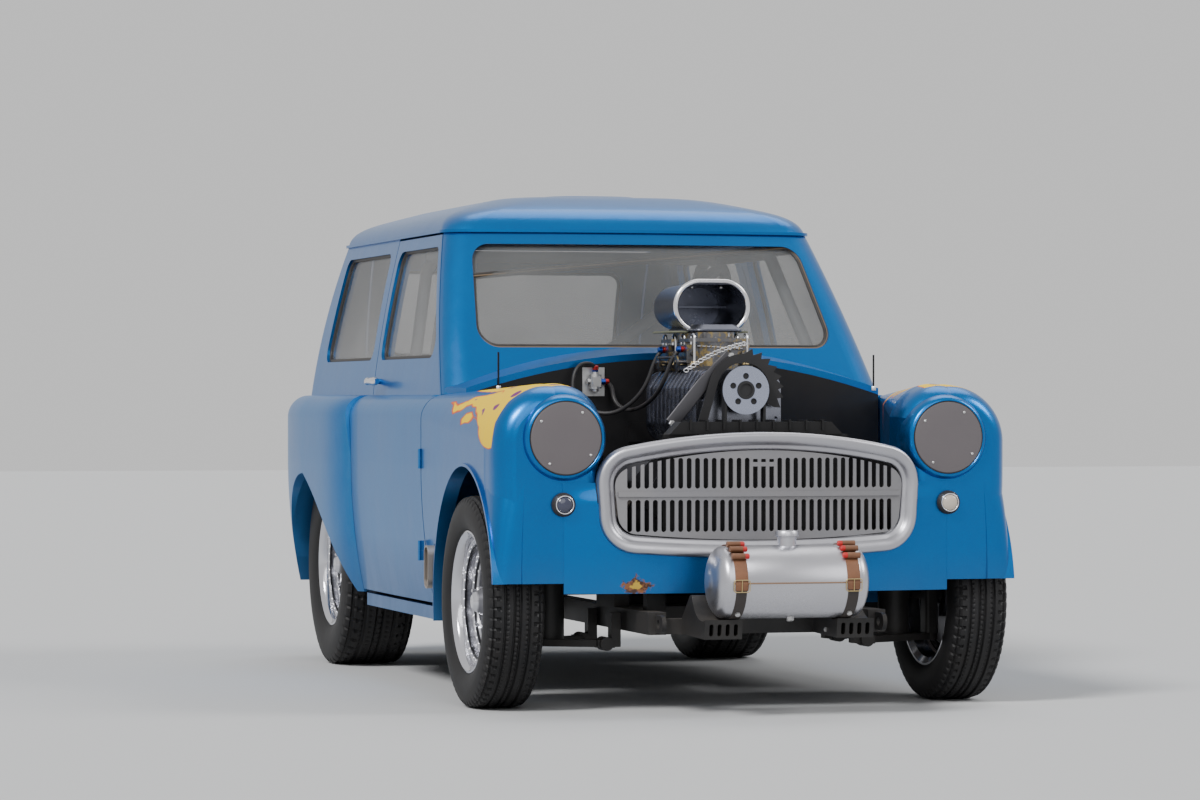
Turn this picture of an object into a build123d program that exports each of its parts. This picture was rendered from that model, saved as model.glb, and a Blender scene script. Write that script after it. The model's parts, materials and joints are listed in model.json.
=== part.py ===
from build123d import *
import os
from math import asin, cos, degrees, hypot, radians, sin

# A small two-door estate car turned into a drag racer: open engine bay with a supercharged V8,
# front fuel tank, solid front subframe. Millimetres, +Z up, the car faces -Y, +X is its left.
# The origin is on the floor under the middle of the car's length and width.

# Overall
OVERALL_LENGTH = 3480
FRONT_REACH = 725
WHEELBASE = 2134
BODY_HALF_WIDTH = 790
FRONT_AXLE_Y = FRONT_REACH - OVERALL_LENGTH / 2
REAR_AXLE_Y = FRONT_AXLE_Y + WHEELBASE
TAIL_Y = OVERALL_LENGTH / 2
PANEL_GAP = 6
SEAT_GAP = 0.3
RUNNING_GAP = 0.05

# Body heights and walls
SILL_Z = 225
FLOOR_Z = 255
DOOR_LOW_Z = 280
BELT_Z = 993
GUTTER_Z = 1430
ROOF_Z = 1570
GUTTER_HALF_WIDTH = 604
WALL = 45
ROOF_WALL = 26
SHEET = 8
SIDE_TUCK = 55
SIDE_FLAT_Z = 700
SHOULDER_Z = 915
SHOULDER_RADIUS = 75
TAIL_HALF_WIDTH = 752
TAIL_CORNER = 140
TAIL_BOW = 35

# Places along the body
DOOR_FRONT_Y = FRONT_AXLE_Y + 578
DOOR_LENGTH = 1000
DOOR_REAR_Y = DOOR_FRONT_Y + DOOR_LENGTH
WINDSCREEN_LEAN = 0.806
WINDSCREEN_BASE_Y = FRONT_AXLE_Y + 640
WINDSCREEN_BOW = 55
PILLAR_WIDTH = 68
FIREWALL_Y = FRONT_AXLE_Y + 500

# Front wings and nose
WING_INNER_X = 450
WING_DOOR_INNER_X = 690
WING_NOSE_Y = FRONT_AXLE_Y - 345
WING_NOSE_LENGTH = 135
WING_REAR_Y = DOOR_FRONT_Y - PANEL_GAP
WING_LOW_Z = 375
SHELF_Z = 752
SEAM_X = 580
ARCH_SHIFT = 25
ARCH_HALF_LENGTH = 368
ARCH_HALF_HEIGHT = 395
ARCH_LIP = 9
LAMP_X = 578
LAMP_Z = 790
LAMP_RADIUS = 100
PARK_X = 582
PARK_Z = 600
PARK_RADIUS = 35

# Side exhaust outlets, behind the front wheels
EXHAUST_Y = FRONT_AXLE_Y + 447
EXHAUST_Z = 395
EXHAUST_HEIGHT = 130
EXHAUST_WIDTH = 56
EXHAUST_TIP_X = 800

# Grille
GRILLE_HALF_WIDTH = 490
GRILLE_LOW_Z = 445
GRILLE_HIGH_Z = 807
GRILLE_FRONT_Y = FRONT_AXLE_Y - 420
GRILLE_SWEEP = 46
GRILLE_FRAME = 52
GRILLE_DEPTH = 42
SLOT_PITCH = 24.5
SLOT_WIDTH = 14
SLOTS_PER_ROW = 33
SLAT_THICKNESS = 6

# Wheels
FRONT_TRACK = 1410
REAR_TRACK = 1270
FRONT_TYRE_RADIUS = 310
FRONT_TYRE_WIDTH = 175
REAR_TYRE_RADIUS = 340
REAR_TYRE_WIDTH = 250
RIM_RADIUS = 190
SPINDLE_RADIUS = 22
KINGPIN_X = 650
FRONT_RIM_HALF = 74
REAR_RIM_HALF = 108
DISH_DEPTH = 70
DISH_WALL = 12
SPINDLE_END = FRONT_TRACK / 2 + FRONT_RIM_HALF - DISH_DEPTH - DISH_WALL - 5
STEER_ARM = 130

# Fuel tank
TANK_RADIUS = 104
TANK_HALF_LENGTH = 232
TANK_Z = 386
TANK_DOME = 40
STRAP_THICKNESS = 5
STRAP_WIDTH = 38
STRAP_X = 165
TANK_Y = FRONT_AXLE_Y - FRONT_REACH + STRAP_THICKNESS + SEAT_GAP + TANK_RADIUS

# Frame rails
RAIL_X = 330
RAIL_Z = 262
RAIL_WIDTH = 52
RAIL_HEIGHT = 64

# Engine
PULLEY_Z = 928
PULLEY_Y = FRONT_AXLE_Y - 231
PULLEY_RADIUS = 71
SCOOP_FACE_Y = FRONT_AXLE_Y + 119
SCOOP_Z = 1179
SCOOP_WIDTH = 225
SCOOP_HEIGHT = 143
SCOOP_LENGTH = 310

os.makedirs("parts", exist_ok=True)


def hand_in(part, name):
    """Label a finished piece and write it as its own file."""
    part.label = name
    export_step(part, f"parts/{name}.step")


def both_sides(left, name):
    """Write a left-hand piece and its mirror image."""
    right = mirror(left, about=Plane.YZ)
    hand_in(left, f"{name}_left")
    hand_in(right, f"{name}_right")


def across(y):
    """Plane that looks along the car at place y: local x is X, local y is Z."""
    return Plane.XZ.offset(-y)


def beside(x):
    """Plane that looks across the car at place x: local x is Y, local y is Z."""
    return Plane.YZ.offset(x)


def tube(points, bend, radius):
    """A round tube along straight runs joined by bends."""
    with BuildPart() as run:
        with BuildLine() as path:
            if len(points) > 2:
                FilletPolyline(*points, radius=bend)
            else:
                Line(*points)
        start = path.line
        with BuildSketch(Plane(start @ 0, z_dir=start % 0)):
            Circle(radius)
        sweep(path=path.line)
    return run.part


def body_section(y, half_width, inset, low_z):
    """Cross-section of the lower body: tucked-in side, upright middle, round shoulder."""
    edge = half_width - inset
    drop = SIDE_FLAT_Z - SILL_Z
    side_radius = (drop ** 2 + SIDE_TUCK ** 2) / (2 * SIDE_TUCK)
    lowest = degrees(asin((SIDE_FLAT_Z - low_z) / side_radius))
    shoulder = SHOULDER_RADIUS - inset
    shoulder_z = SHOULDER_Z - SHOULDER_RADIUS
    with BuildSketch(across(y)) as section:
        with BuildLine():
            side = CenterArc((edge - side_radius, SIDE_FLAT_Z), side_radius, -lowest, lowest)
            Line((0, low_z), side @ 0)
            Line(side @ 1, (edge, shoulder_z))
            CenterArc((edge - shoulder, shoulder_z), shoulder, 0, 90)
            Line((edge - shoulder, shoulder_z + shoulder), (0, shoulder_z + shoulder))
            mirror(about=Plane.YZ)
        make_face()
    return section.sketch


def plan_outline(z, half_width, front_y, rear_y, front_bow, rear_bow, corner):
    """Plan of the cabin at height z: bowed front and rear, round corners."""
    with BuildSketch(Plane.XY.offset(z)) as outline:
        with BuildLine():
            ThreePointArc((-half_width, front_y), (0, front_y - front_bow), (half_width, front_y))
            Line((half_width, front_y), (half_width, rear_y))
            ThreePointArc((half_width, rear_y), (0, rear_y + rear_bow), (-half_width, rear_y))
            Line((-half_width, rear_y), (-half_width, front_y))
        make_face()
        fillet(outline.vertices(), corner)
    return outline.sketch


def wing_inner_x(y):
    """Place of the wing's inner wall, which spreads from the lamp to the door."""
    straight = WING_REAR_Y - WING_NOSE_Y - WING_NOSE_LENGTH
    share = (y - WING_NOSE_Y - WING_NOSE_LENGTH) / straight
    return WING_INNER_X + (WING_DOOR_INNER_X - WING_INNER_X) * max(share, 0)


def windscreen_y(z):
    """Place of the windscreen's corners at height z."""
    return WINDSCREEN_BASE_Y + (z - BELT_Z) * WINDSCREEN_LEAN


# Cabin heights. Columns: height, half width, front y, rear y, corner radius
GLASSHOUSE = (
    (SHOULDER_Z - 20, 711, windscreen_y(SHOULDER_Z - 20), FRONT_AXLE_Y + 2712, 95),
    (1210, 657, windscreen_y(1210), FRONT_AXLE_Y + 2662, 95),
    (GUTTER_Z, 604, windscreen_y(GUTTER_Z), FRONT_AXLE_Y + 2570, 95),
)
ROOF = (
    (GUTTER_Z, 604, windscreen_y(GUTTER_Z), FRONT_AXLE_Y + 2570, 95),
    (1468, 590, FRONT_AXLE_Y + 1018, FRONT_AXLE_Y + 2562, 110),
    (1508, 518, FRONT_AXLE_Y + 1075, FRONT_AXLE_Y + 2505, 130),
    (1537, 415, FRONT_AXLE_Y + 1165, FRONT_AXLE_Y + 2420, 150),
    (1559, 285, FRONT_AXLE_Y + 1290, FRONT_AXLE_Y + 2300, 150),
    (ROOF_Z, 150, FRONT_AXLE_Y + 1430, FRONT_AXLE_Y + 2170, 100),
)
# Lower body. Columns: place along the car, half width
LOWER_BODY = (
    (DOOR_FRONT_Y - 20, BODY_HALF_WIDTH - 4),
    (DOOR_REAR_Y, BODY_HALF_WIDTH),
    (TAIL_Y, TAIL_HALF_WIDTH),
)


def cabin_stack(rows, inset, drop):
    """Loft through the plan outlines of a table, each set in by the wall."""
    with BuildPart() as stack:
        for z, half_width, front_y, rear_y, corner in rows:
            share = min(1, half_width / GUTTER_HALF_WIDTH)
            outline = plan_outline(z - drop, half_width - inset, front_y + inset, rear_y - inset,
                                   WINDSCREEN_BOW * share, TAIL_BOW * share, max(corner - inset, 8))
            add(outline)
        loft()
    return stack.part


def lower_body(inset, low_z):
    """Lower half of the cabin, with the tail's corners rounded in plan."""
    with BuildPart() as lower:
        for y, half_width in LOWER_BODY:
            ahead = 3 * inset if y < DOOR_FRONT_Y else 0
            add(body_section(y - ahead, half_width, inset, low_z))
        loft()
        with BuildSketch(Plane.XY.offset(low_z - 10)) as plan:
            with BuildLine():
                rear_y = TAIL_Y - inset - TAIL_BOW
                wide = BODY_HALF_WIDTH + 20
                ThreePointArc((wide, rear_y), (0, TAIL_Y - inset), (-wide, rear_y))
                Polyline((-wide, rear_y), (-wide, DOOR_FRONT_Y - 300), (wide, DOOR_FRONT_Y - 300), (wide, rear_y))
            make_face()
            fillet(plan.vertices().group_by(Axis.Y)[-1], TAIL_CORNER + 60 - inset)
        extrude(amount=BELT_Z + 100, mode=Mode.INTERSECT)
    return lower.part


outer_cabin = lower_body(0, SILL_Z) + cabin_stack(GLASSHOUSE, 0, 0) + cabin_stack(ROOF, 0, 0)
inner_lower = lower_body(WALL, SILL_Z + 0.5)
inner_upper = cabin_stack(GLASSHOUSE, WALL, 1) + cabin_stack(ROOF, WALL, ROOF_WALL)
neck_row = GLASSHOUSE[0]
neck_outline = plan_outline(SHOULDER_Z - SHOULDER_RADIUS, neck_row[1] - WALL, neck_row[2] + WALL, neck_row[3] - WALL,
                            WINDSCREEN_BOW, TAIL_BOW, neck_row[4] - WALL)
inner_neck = extrude(neck_outline, amount=SHOULDER_RADIUS - 18)
cabin_shell = outer_cabin - inner_lower - inner_upper - inner_neck

# Door, window and tailgate outlines, as seen from the side. Columns: y, z
DOOR_TOP_Z = GUTTER_Z - PANEL_GAP
DOOR_KNEE_Z = SHOULDER_Z - 5


def door_front_y(z):
    """Front edge of the door's window frame, behind the windscreen pillar."""
    return windscreen_y(z) + PILLAR_WIDTH


def door_outline(grow):
    """Side view of the door, made larger all round by grow."""
    top = DOOR_TOP_Z + grow
    knee = DOOR_KNEE_Z
    with BuildSketch(beside(400)) as outline:
        with BuildLine():
            Polyline(
                (DOOR_FRONT_Y - grow, DOOR_LOW_Z - grow),
                (DOOR_FRONT_Y - grow, knee + grow),
                (door_front_y(knee) - grow, knee + grow),
                (door_front_y(top) - grow, top),
                (DOOR_REAR_Y + 85 + grow, top),
                (DOOR_REAR_Y + 45 + grow, BELT_Z),
                (DOOR_REAR_Y + grow, SIDE_FLAT_Z),
                (DOOR_REAR_Y + grow, DOOR_LOW_Z - grow),
                close=True,
            )
        make_face()
    return outline.sketch


def window_outline(corners, radius, grow=0):
    """Side window with round corners, as seen from the side."""
    with BuildSketch(beside(400)) as outline:
        with BuildLine():
            FilletPolyline(*corners, radius=radius, close=True)
        make_face()
        if grow:
            offset(amount=grow)
    return outline.sketch


WINDOW_LOW_Z = 1030
WINDOW_HIGH_Z = 1386
DOOR_WINDOW = (
    (door_front_y(WINDOW_LOW_Z) + 38, WINDOW_LOW_Z),
    (door_front_y(WINDOW_HIGH_Z) + 38, WINDOW_HIGH_Z),
    (DOOR_REAR_Y + 35, WINDOW_HIGH_Z),
    (DOOR_REAR_Y + 8, WINDOW_LOW_Z),
)
REAR_WINDOW = (
    (DOOR_REAR_Y + 125, WINDOW_LOW_Z),
    (DOOR_REAR_Y + 160, WINDOW_HIGH_Z),
    (FRONT_AXLE_Y + 2430, WINDOW_HIGH_Z),
    (FRONT_AXLE_Y + 2480, WINDOW_LOW_Z),
)
WINDOW_CORNER = 45
GLASS_THICKNESS = 5
GLASS_INSET = 16
TAILGATE_HALF_WIDTH = 500
TAILGATE_LOW_Z = 420
SIDE_DEPTH = 500
TAIL_HINGE_X = -TAILGATE_HALF_WIDTH - PANEL_GAP / 2
TAIL_HINGE_Y = TAIL_Y - 9
TAIL_HINGE_HEIGHTS = (560, 860)

# Doors
HINGE_X = BODY_HALF_WIDTH + 1
HINGE_Y = DOOR_FRONT_Y - PANEL_GAP / 2
HINGE_RADIUS = 5
HINGE_LENGTH = 30
HINGE_LEAF = 3
HINGE_HEIGHTS = (440, 720)
POST_X = 655
POST_WIDTH = 70
POST_TOP_Z = 750
PAN = 12
POST_LOW_Z = FLOOR_Z + PAN + SEAT_GAP
HANDLE_Y = DOOR_REAR_Y - 45
HANDLE_Z = 960
HANDLE_X = 742

with BuildPart() as door:
    add(cabin_shell)
    add(extrude(door_outline(0), amount=SIDE_DEPTH, mode=Mode.PRIVATE), mode=Mode.INTERSECT)
    add(extrude(window_outline(DOOR_WINDOW, WINDOW_CORNER), amount=SIDE_DEPTH, mode=Mode.PRIVATE), mode=Mode.SUBTRACT)
    with Locations((0, DOOR_FRONT_Y, SHOULDER_Z - SHOULDER_RADIUS)):
        Box(2 * (neck_row[1] - WALL), DOOR_LENGTH, SHOULDER_RADIUS, align=(Align.CENTER, Align.CENTER, Align.MIN),
            mode=Mode.SUBTRACT)
    with Locations((HANDLE_X - 60, HANDLE_Y, HANDLE_Z)):
        Cylinder(9, 60, rotation=(0, 90, 0), align=(Align.CENTER, Align.CENTER, Align.MIN))
    with Locations((HANDLE_X, HANDLE_Y - 55, HANDLE_Z)):
        Box(12, 150, 16)
    for z in HINGE_HEIGHTS:
        with Locations((HINGE_X, HINGE_Y, z + SEAT_GAP)):
            Cylinder(HINGE_RADIUS, HINGE_LENGTH, align=(Align.CENTER, Align.CENTER, Align.MIN))
        with Locations((HINGE_X - 8, DOOR_FRONT_Y - 1, z + SEAT_GAP)):
            Box(14, 4, HINGE_LENGTH, align=(Align.CENTER, Align.CENTER, Align.MIN))
both_sides(door.part, "door")


def glass_layer(depth):
    """The space between two depths under the cabin's outer skin, above the belt."""
    outer = cabin_stack(GLASSHOUSE, depth, 0)
    inner = cabin_stack(GLASSHOUSE, depth + GLASS_THICKNESS, 0)
    return outer - inner


glass_skin = glass_layer(GLASS_INSET)

with BuildPart() as door_glass:
    add(glass_skin)
    add(extrude(window_outline(DOOR_WINDOW, WINDOW_CORNER, -SEAT_GAP), amount=SIDE_DEPTH,
                mode=Mode.PRIVATE), mode=Mode.INTERSECT)
both_sides(door_glass.part, "door_glass")

# Windscreen opening, as seen from the front
WINDSCREEN_LOW_Z = 1062
WINDSCREEN_HIGH_Z = 1392


def windscreen_outline(grow):
    """Windscreen with round corners, wider at its base, as seen from the front."""
    with BuildSketch(across(FRONT_AXLE_Y + 500)) as outline:
        with BuildLine():
            FilletPolyline((-582, WINDSCREEN_LOW_Z), (582, WINDSCREEN_LOW_Z), (538, WINDSCREEN_HIGH_Z),
                           (-538, WINDSCREEN_HIGH_Z), radius=62, close=True)
        make_face()
        if grow:
            offset(amount=grow)
    return outline.sketch


# Scuttle: crowned cowl, windscreen pillars and header
COWL_FRONT_Y = FIREWALL_Y
COWL_LOW_Z = 898
COWL_EDGE_Z = 936
COWL_BAND = 20
# Columns: place along the car, half width, height at the middle
COWL = (
    (COWL_FRONT_Y, wing_inner_x(COWL_FRONT_Y) - PANEL_GAP, 1045),
    (DOOR_FRONT_Y + 50, 698, 1066),
)
with BuildPart() as scuttle:
    add(cabin_shell)
    pillar_z = DOOR_KNEE_Z + PANEL_GAP
    with BuildSketch(beside(0)):
        with BuildLine():
            Polyline(
                (DOOR_FRONT_Y, pillar_z),
                (door_front_y(pillar_z) - PANEL_GAP, pillar_z),
                (door_front_y(GUTTER_Z) - PANEL_GAP, GUTTER_Z),
                (DOOR_FRONT_Y, GUTTER_Z),
                close=True,
            )
        make_face()
    extrude(amount=BODY_HALF_WIDTH, both=True, mode=Mode.INTERSECT)
    with BuildSketch(Plane.XY.offset(COWL_LOW_Z)):
        with BuildLine():
            front = COWL_FRONT_Y + SHEET + SEAT_GAP
            wide = COWL[0][1]
            step = DOOR_FRONT_Y + 4
            Polyline((wide, front), (wide, step), (640, step), (640, step + 146), (-640, step + 146),
                     (-640, step), (-wide, step), (-wide, front), close=True)
        make_face()
    extrude(amount=27)
    for y, half_width, crown in COWL:
        with BuildSketch(across(y)):
            with BuildLine():
                ThreePointArc((-half_width, COWL_EDGE_Z), (0, crown), (half_width, COWL_EDGE_Z))
                Line((half_width, COWL_EDGE_Z), (half_width, COWL_EDGE_Z - COWL_BAND))
                ThreePointArc((half_width, COWL_EDGE_Z - COWL_BAND), (0, crown - COWL_BAND),
                              (-half_width, COWL_EDGE_Z - COWL_BAND))
                Line((-half_width, COWL_EDGE_Z - COWL_BAND), (-half_width, COWL_EDGE_Z))
            make_face()
    loft()
    add(extrude(windscreen_outline(0), amount=-FRONT_REACH, mode=Mode.PRIVATE), mode=Mode.SUBTRACT)
    for side in (-1, 1):
        with Locations((side * POST_X, DOOR_FRONT_Y - 10, POST_LOW_Z)):
            Box(POST_WIDTH, 120, POST_TOP_Z - POST_LOW_Z, align=(Align.CENTER, Align.CENTER, Align.MIN))
        with Locations((side * 625, DOOR_FRONT_Y + 27, POST_TOP_Z - 10)):
            Box(30, 46, COWL_LOW_Z + 20 - POST_TOP_Z, align=(Align.CENTER, Align.CENTER, Align.MIN))
        for z in HINGE_HEIGHTS:
            with Locations((side * (POST_X + HINGE_X) / 2, HINGE_Y, z - HINGE_LENGTH / 2)):
                Box(HINGE_X - POST_X, HINGE_LEAF, HINGE_LENGTH)
            with Locations((side * HINGE_X, HINGE_Y, z - HINGE_LENGTH / 2)):
                Cylinder(HINGE_RADIUS, HINGE_LENGTH)
hand_in(scuttle.part, "scuttle")

# Fixed glass: windscreen and rear side windows
with BuildPart() as windscreen:
    add(glass_skin)
    add(extrude(windscreen_outline(-SEAT_GAP), amount=-FRONT_REACH, mode=Mode.PRIVATE), mode=Mode.INTERSECT)
with BuildPart() as rear_window:
    add(glass_skin)
    add(extrude(window_outline(REAR_WINDOW, WINDOW_CORNER, -SEAT_GAP), amount=SIDE_DEPTH,
                mode=Mode.PRIVATE), mode=Mode.INTERSECT)
with BuildPart() as fixed_glass:
    add(windscreen.part)
    add(rear_window.part)
    add(mirror(rear_window.part, about=Plane.YZ, mode=Mode.PRIVATE))
hand_in(fixed_glass.part, "fixed_glass")

# Roof with its rain gutter
with BuildPart() as roof_panel:
    add(cabin_shell)
    with BuildSketch(Plane.XY.offset(GUTTER_Z + SEAT_GAP)):
        Rectangle(4 * BODY_HALF_WIDTH, 2 * OVERALL_LENGTH)
    extrude(amount=300, mode=Mode.INTERSECT)
    gutter = plan_outline(GUTTER_Z + SEAT_GAP, 612, windscreen_y(GUTTER_Z) - 6, FRONT_AXLE_Y + 2578,
                          WINDSCREEN_BOW, TAIL_BOW, 100)
    rebate = plan_outline(GUTTER_Z + SEAT_GAP, 596, windscreen_y(GUTTER_Z) + 8, FRONT_AXLE_Y + 2562,
                          WINDSCREEN_BOW, TAIL_BOW, 90)
    add(extrude(gutter, amount=9, mode=Mode.PRIVATE) - extrude(rebate, amount=9, mode=Mode.PRIVATE))
hand_in(roof_panel.part, "roof_panel")

# Rear quarters: side wall, rear pillar and the raised rear wing with its arch
REAR_WING_INNER_X = 690
REAR_WING_HOLLOW = 20
REAR_WELL_RADIUS = REAR_TYRE_RADIUS + 32
# Columns: place along the car, bulge beyond the door
REAR_WING = (
    (DOOR_REAR_Y + PANEL_GAP, -2),
    (DOOR_REAR_Y + 45, 22),
    (DOOR_REAR_Y + 120, 44),
    (REAR_AXLE_Y - 180, 56),
    (REAR_AXLE_Y + 180, 50),
    (TAIL_Y - 180, 12),
    (TAIL_Y - 100, -20),
)


with BuildPart() as rear_wing:
    for y, bulge in REAR_WING:
        add(body_section(y, BODY_HALF_WIDTH + bulge, 0, SILL_Z + 45))
    loft()
    with Locations((REAR_WING_INNER_X, 0, 0)):
        Box(BODY_HALF_WIDTH, 2 * TAIL_Y, 2 * SHOULDER_Z, align=(Align.MIN, Align.CENTER, Align.MIN),
            mode=Mode.INTERSECT)

with BuildPart() as quarter:
    add(cabin_shell)
    add(rear_wing.part)
    with BuildSketch(beside(TAILGATE_HALF_WIDTH + PANEL_GAP)):
        with BuildLine():
            Polyline(
                (DOOR_REAR_Y + PANEL_GAP, SILL_Z + 45),
                (DOOR_REAR_Y + PANEL_GAP, SIDE_FLAT_Z),
                (DOOR_REAR_Y + 45 + PANEL_GAP, BELT_Z),
                (DOOR_REAR_Y + 85 + PANEL_GAP, GUTTER_Z),
                (TAIL_Y + 10, GUTTER_Z),
                (TAIL_Y + 10, SILL_Z + 45),
                close=True,
            )
        make_face()
    extrude(amount=SIDE_DEPTH, mode=Mode.INTERSECT)
    add(inner_lower, mode=Mode.SUBTRACT)
    add(extrude(window_outline(REAR_WINDOW, WINDOW_CORNER), amount=SIDE_DEPTH, mode=Mode.PRIVATE), mode=Mode.SUBTRACT)
    with BuildSketch(beside(400)):
        with Locations((REAR_AXLE_Y, REAR_TYRE_RADIUS)):
            Circle(REAR_WELL_RADIUS)
    extrude(amount=BODY_HALF_WIDTH - 400 + REAR_WING_HOLLOW, mode=Mode.SUBTRACT)
    with BuildSketch(beside(400)):
        with BuildLine():
            ThreePointArc((DOOR_REAR_Y + 22, 255), (REAR_AXLE_Y - 330, 480), (REAR_AXLE_Y - 30, 650))
            ThreePointArc((REAR_AXLE_Y - 30, 650), (REAR_AXLE_Y + 260, 540), (REAR_AXLE_Y + 385, 255))
            Line((REAR_AXLE_Y + 385, 255), (DOOR_REAR_Y + 22, 255))
        make_face()
    extrude(amount=SIDE_DEPTH, mode=Mode.SUBTRACT)
hand_in(quarter.part, "quarter_left")

with BuildPart() as quarter_right:
    add(mirror(quarter.part, about=Plane.YZ, mode=Mode.PRIVATE))
    for z in TAIL_HINGE_HEIGHTS:
        with Locations((TAIL_HINGE_X, TAIL_HINGE_Y, z)):
            Cylinder(HINGE_RADIUS, HINGE_LENGTH, align=(Align.CENTER, Align.CENTER, Align.MAX))
        with Locations((TAIL_HINGE_X - 2, TAIL_HINGE_Y - 4, z)):
            Box(10, 8, HINGE_LENGTH, align=(Align.MAX, Align.CENTER, Align.MAX))
hand_in(quarter_right.part, "quarter_right")

# Tailgate, hung on its right-hand side, and the panel below it
with BuildPart() as tailgate:
    add(cabin_shell)
    with BuildSketch(across(REAR_AXLE_Y + 300)):
        with Locations((0, (TAILGATE_LOW_Z + DOOR_TOP_Z) / 2)):
            Rectangle(2 * TAILGATE_HALF_WIDTH, DOOR_TOP_Z - TAILGATE_LOW_Z)
    extrude(amount=-600, mode=Mode.INTERSECT)
    with BuildSketch(across(REAR_AXLE_Y + 300)):
        with Locations((0, 1205)):
            RectangleRounded(840, 300, 50)
    extrude(amount=-600, mode=Mode.SUBTRACT)
    for z in TAIL_HINGE_HEIGHTS:
        with Locations((TAIL_HINGE_X, TAIL_HINGE_Y, z + SEAT_GAP)):
            Cylinder(HINGE_RADIUS, HINGE_LENGTH, align=(Align.CENTER, Align.CENTER, Align.MIN))
        with Locations((TAIL_HINGE_X + 2, TAIL_HINGE_Y - 4, z + SEAT_GAP)):
            Box(10, 8, HINGE_LENGTH, align=(Align.MIN, Align.CENTER, Align.MIN))
hand_in(tailgate.part, "tailgate")

with BuildPart() as tailgate_glass:
    add(glass_skin)
    with BuildSketch(across(REAR_AXLE_Y + 300)):
        with Locations((0, 1205)):
            RectangleRounded(840 - 2 * SEAT_GAP, 300 - 2 * SEAT_GAP, 50)
    extrude(amount=-600, mode=Mode.INTERSECT)
hand_in(tailgate_glass.part, "tailgate_glass")

with BuildPart() as tail_valance:
    add(cabin_shell)
    with BuildSketch(across(REAR_AXLE_Y + 300)):
        with Locations((0, (SILL_Z + 45 + TAILGATE_LOW_Z - PANEL_GAP) / 2)):
            Rectangle(2 * (TAILGATE_HALF_WIDTH + PANEL_GAP - SEAT_GAP), TAILGATE_LOW_Z - PANEL_GAP - SILL_Z - 45)
    extrude(amount=-600, mode=Mode.INTERSECT)
hand_in(tail_valance.part, "tail_valance")

# Floor: front pan, sills, tunnel, kick-up, rear deck and wheel tubs
KICK_Y = FRONT_AXLE_Y + 1740
DECK_Z = 505
DECK_HALF_WIDTH = 780
TUNNEL_RADIUS = 150
TUNNEL_Z = 350
TUB_INNER_X = 470
TUB_OUTER_X = 780
TUB_RADIUS = REAR_TYRE_RADIUS + 60
floor_space = lower_body(WALL + SEAT_GAP, SILL_Z + 1)
with BuildPart() as floor_pan:
    with BuildSketch(beside(0)):
        with BuildLine():
            Polyline(
                (DOOR_FRONT_Y, FLOOR_Z), (KICK_Y, FLOOR_Z), (KICK_Y, DECK_Z - PAN),
                (TAIL_Y - 110, DECK_Z - PAN), (TAIL_Y - 110, DECK_Z), (KICK_Y - PAN, DECK_Z),
                (KICK_Y - PAN, FLOOR_Z + PAN), (DOOR_FRONT_Y, FLOOR_Z + PAN), close=True,
            )
        make_face()
    extrude(amount=DECK_HALF_WIDTH, both=True)
    with BuildSketch(across(DOOR_FRONT_Y)):
        with Locations((0, TUNNEL_Z)):
            Circle(TUNNEL_RADIUS + PAN)
    extrude(amount=DOOR_FRONT_Y - KICK_Y)
    with BuildSketch(across(DOOR_FRONT_Y - 1)):
        with Locations((0, TUNNEL_Z)):
            Circle(TUNNEL_RADIUS)
        with Locations((0, TUNNEL_Z - 200)):
            Rectangle(2 * TUNNEL_RADIUS, 400)
    extrude(amount=DOOR_FRONT_Y - KICK_Y - 10, mode=Mode.SUBTRACT)
    for side in (-1, 1):
        with BuildSketch(beside(side * TUB_INNER_X)):
            with Locations((REAR_AXLE_Y, REAR_TYRE_RADIUS)):
                Circle(TUB_RADIUS + PAN)
        extrude(amount=side * (TUB_OUTER_X - TUB_INNER_X))
    add(floor_space, mode=Mode.INTERSECT)
    for side in (-1, 1):
        with BuildSketch(beside(side * (TUB_INNER_X + PAN))):
            with Locations((REAR_AXLE_Y, REAR_TYRE_RADIUS)):
                Circle(TUB_RADIUS)
        extrude(amount=side * 400, mode=Mode.SUBTRACT)
    with Locations((0, KICK_Y + SEAT_GAP, DECK_Z - PAN)):
        Box(4 * BODY_HALF_WIDTH, WHEELBASE, DECK_Z, align=(Align.CENTER, Align.MIN, Align.MAX),
            mode=Mode.SUBTRACT)
    for side in (-1, 1):
        with Locations((side * 690, DOOR_FRONT_Y, SILL_Z + 2)):
            Box(90, DOOR_LENGTH + 4, FLOOR_Z + PAN - SILL_Z - 2, align=(Align.CENTER, Align.MIN, Align.MIN))
hand_in(floor_pan.part, "floor_pan")


# Grille mouth
MOUTH_REACH = 300


def mouth_outline(inset):
    """Grille mouth: arched top, nearly flat base, big round ends."""
    half = GRILLE_HALF_WIDTH - inset
    low = GRILLE_LOW_Z + inset
    high = GRILLE_HIGH_Z - inset
    end_high = high - 62
    end_low = low + 22
    with BuildSketch(across(WING_NOSE_Y + 100)) as outline:
        with BuildLine():
            ThreePointArc((-half, end_high), (0, high), (half, end_high))
            Line((half, end_high), (half - 18, end_low))
            ThreePointArc((half - 18, end_low), (0, low), (-half + 18, end_low))
            Line((-half + 18, end_low), (-half, end_high))
        make_face()
        fillet(outline.vertices(), 108 - inset)
    return outline.sketch


# Front wings. Columns: x and z at the lamp end, x and z at the door end, then the way in for the wall
WING_POINTS = (
    (WING_INNER_X, 850, WING_DOOR_INNER_X, 905, 1, -0.3),
    (500, 922, 698, 912, 0.6, -0.8),
    (600, 945, 711, SHOULDER_Z, 0, -1),
    (728, 900, 764, 893, -0.7, -0.7),
    (782, 780, BODY_HALF_WIDTH - 4, SHOULDER_Z - SHOULDER_RADIUS, -1, 0),
)
# Round nose. Columns: place behind the nose, inset
WING_NOSE = ((0, 62), (10, 36), (38, 14), (85, 3), (WING_NOSE_LENGTH, 0))


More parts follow.
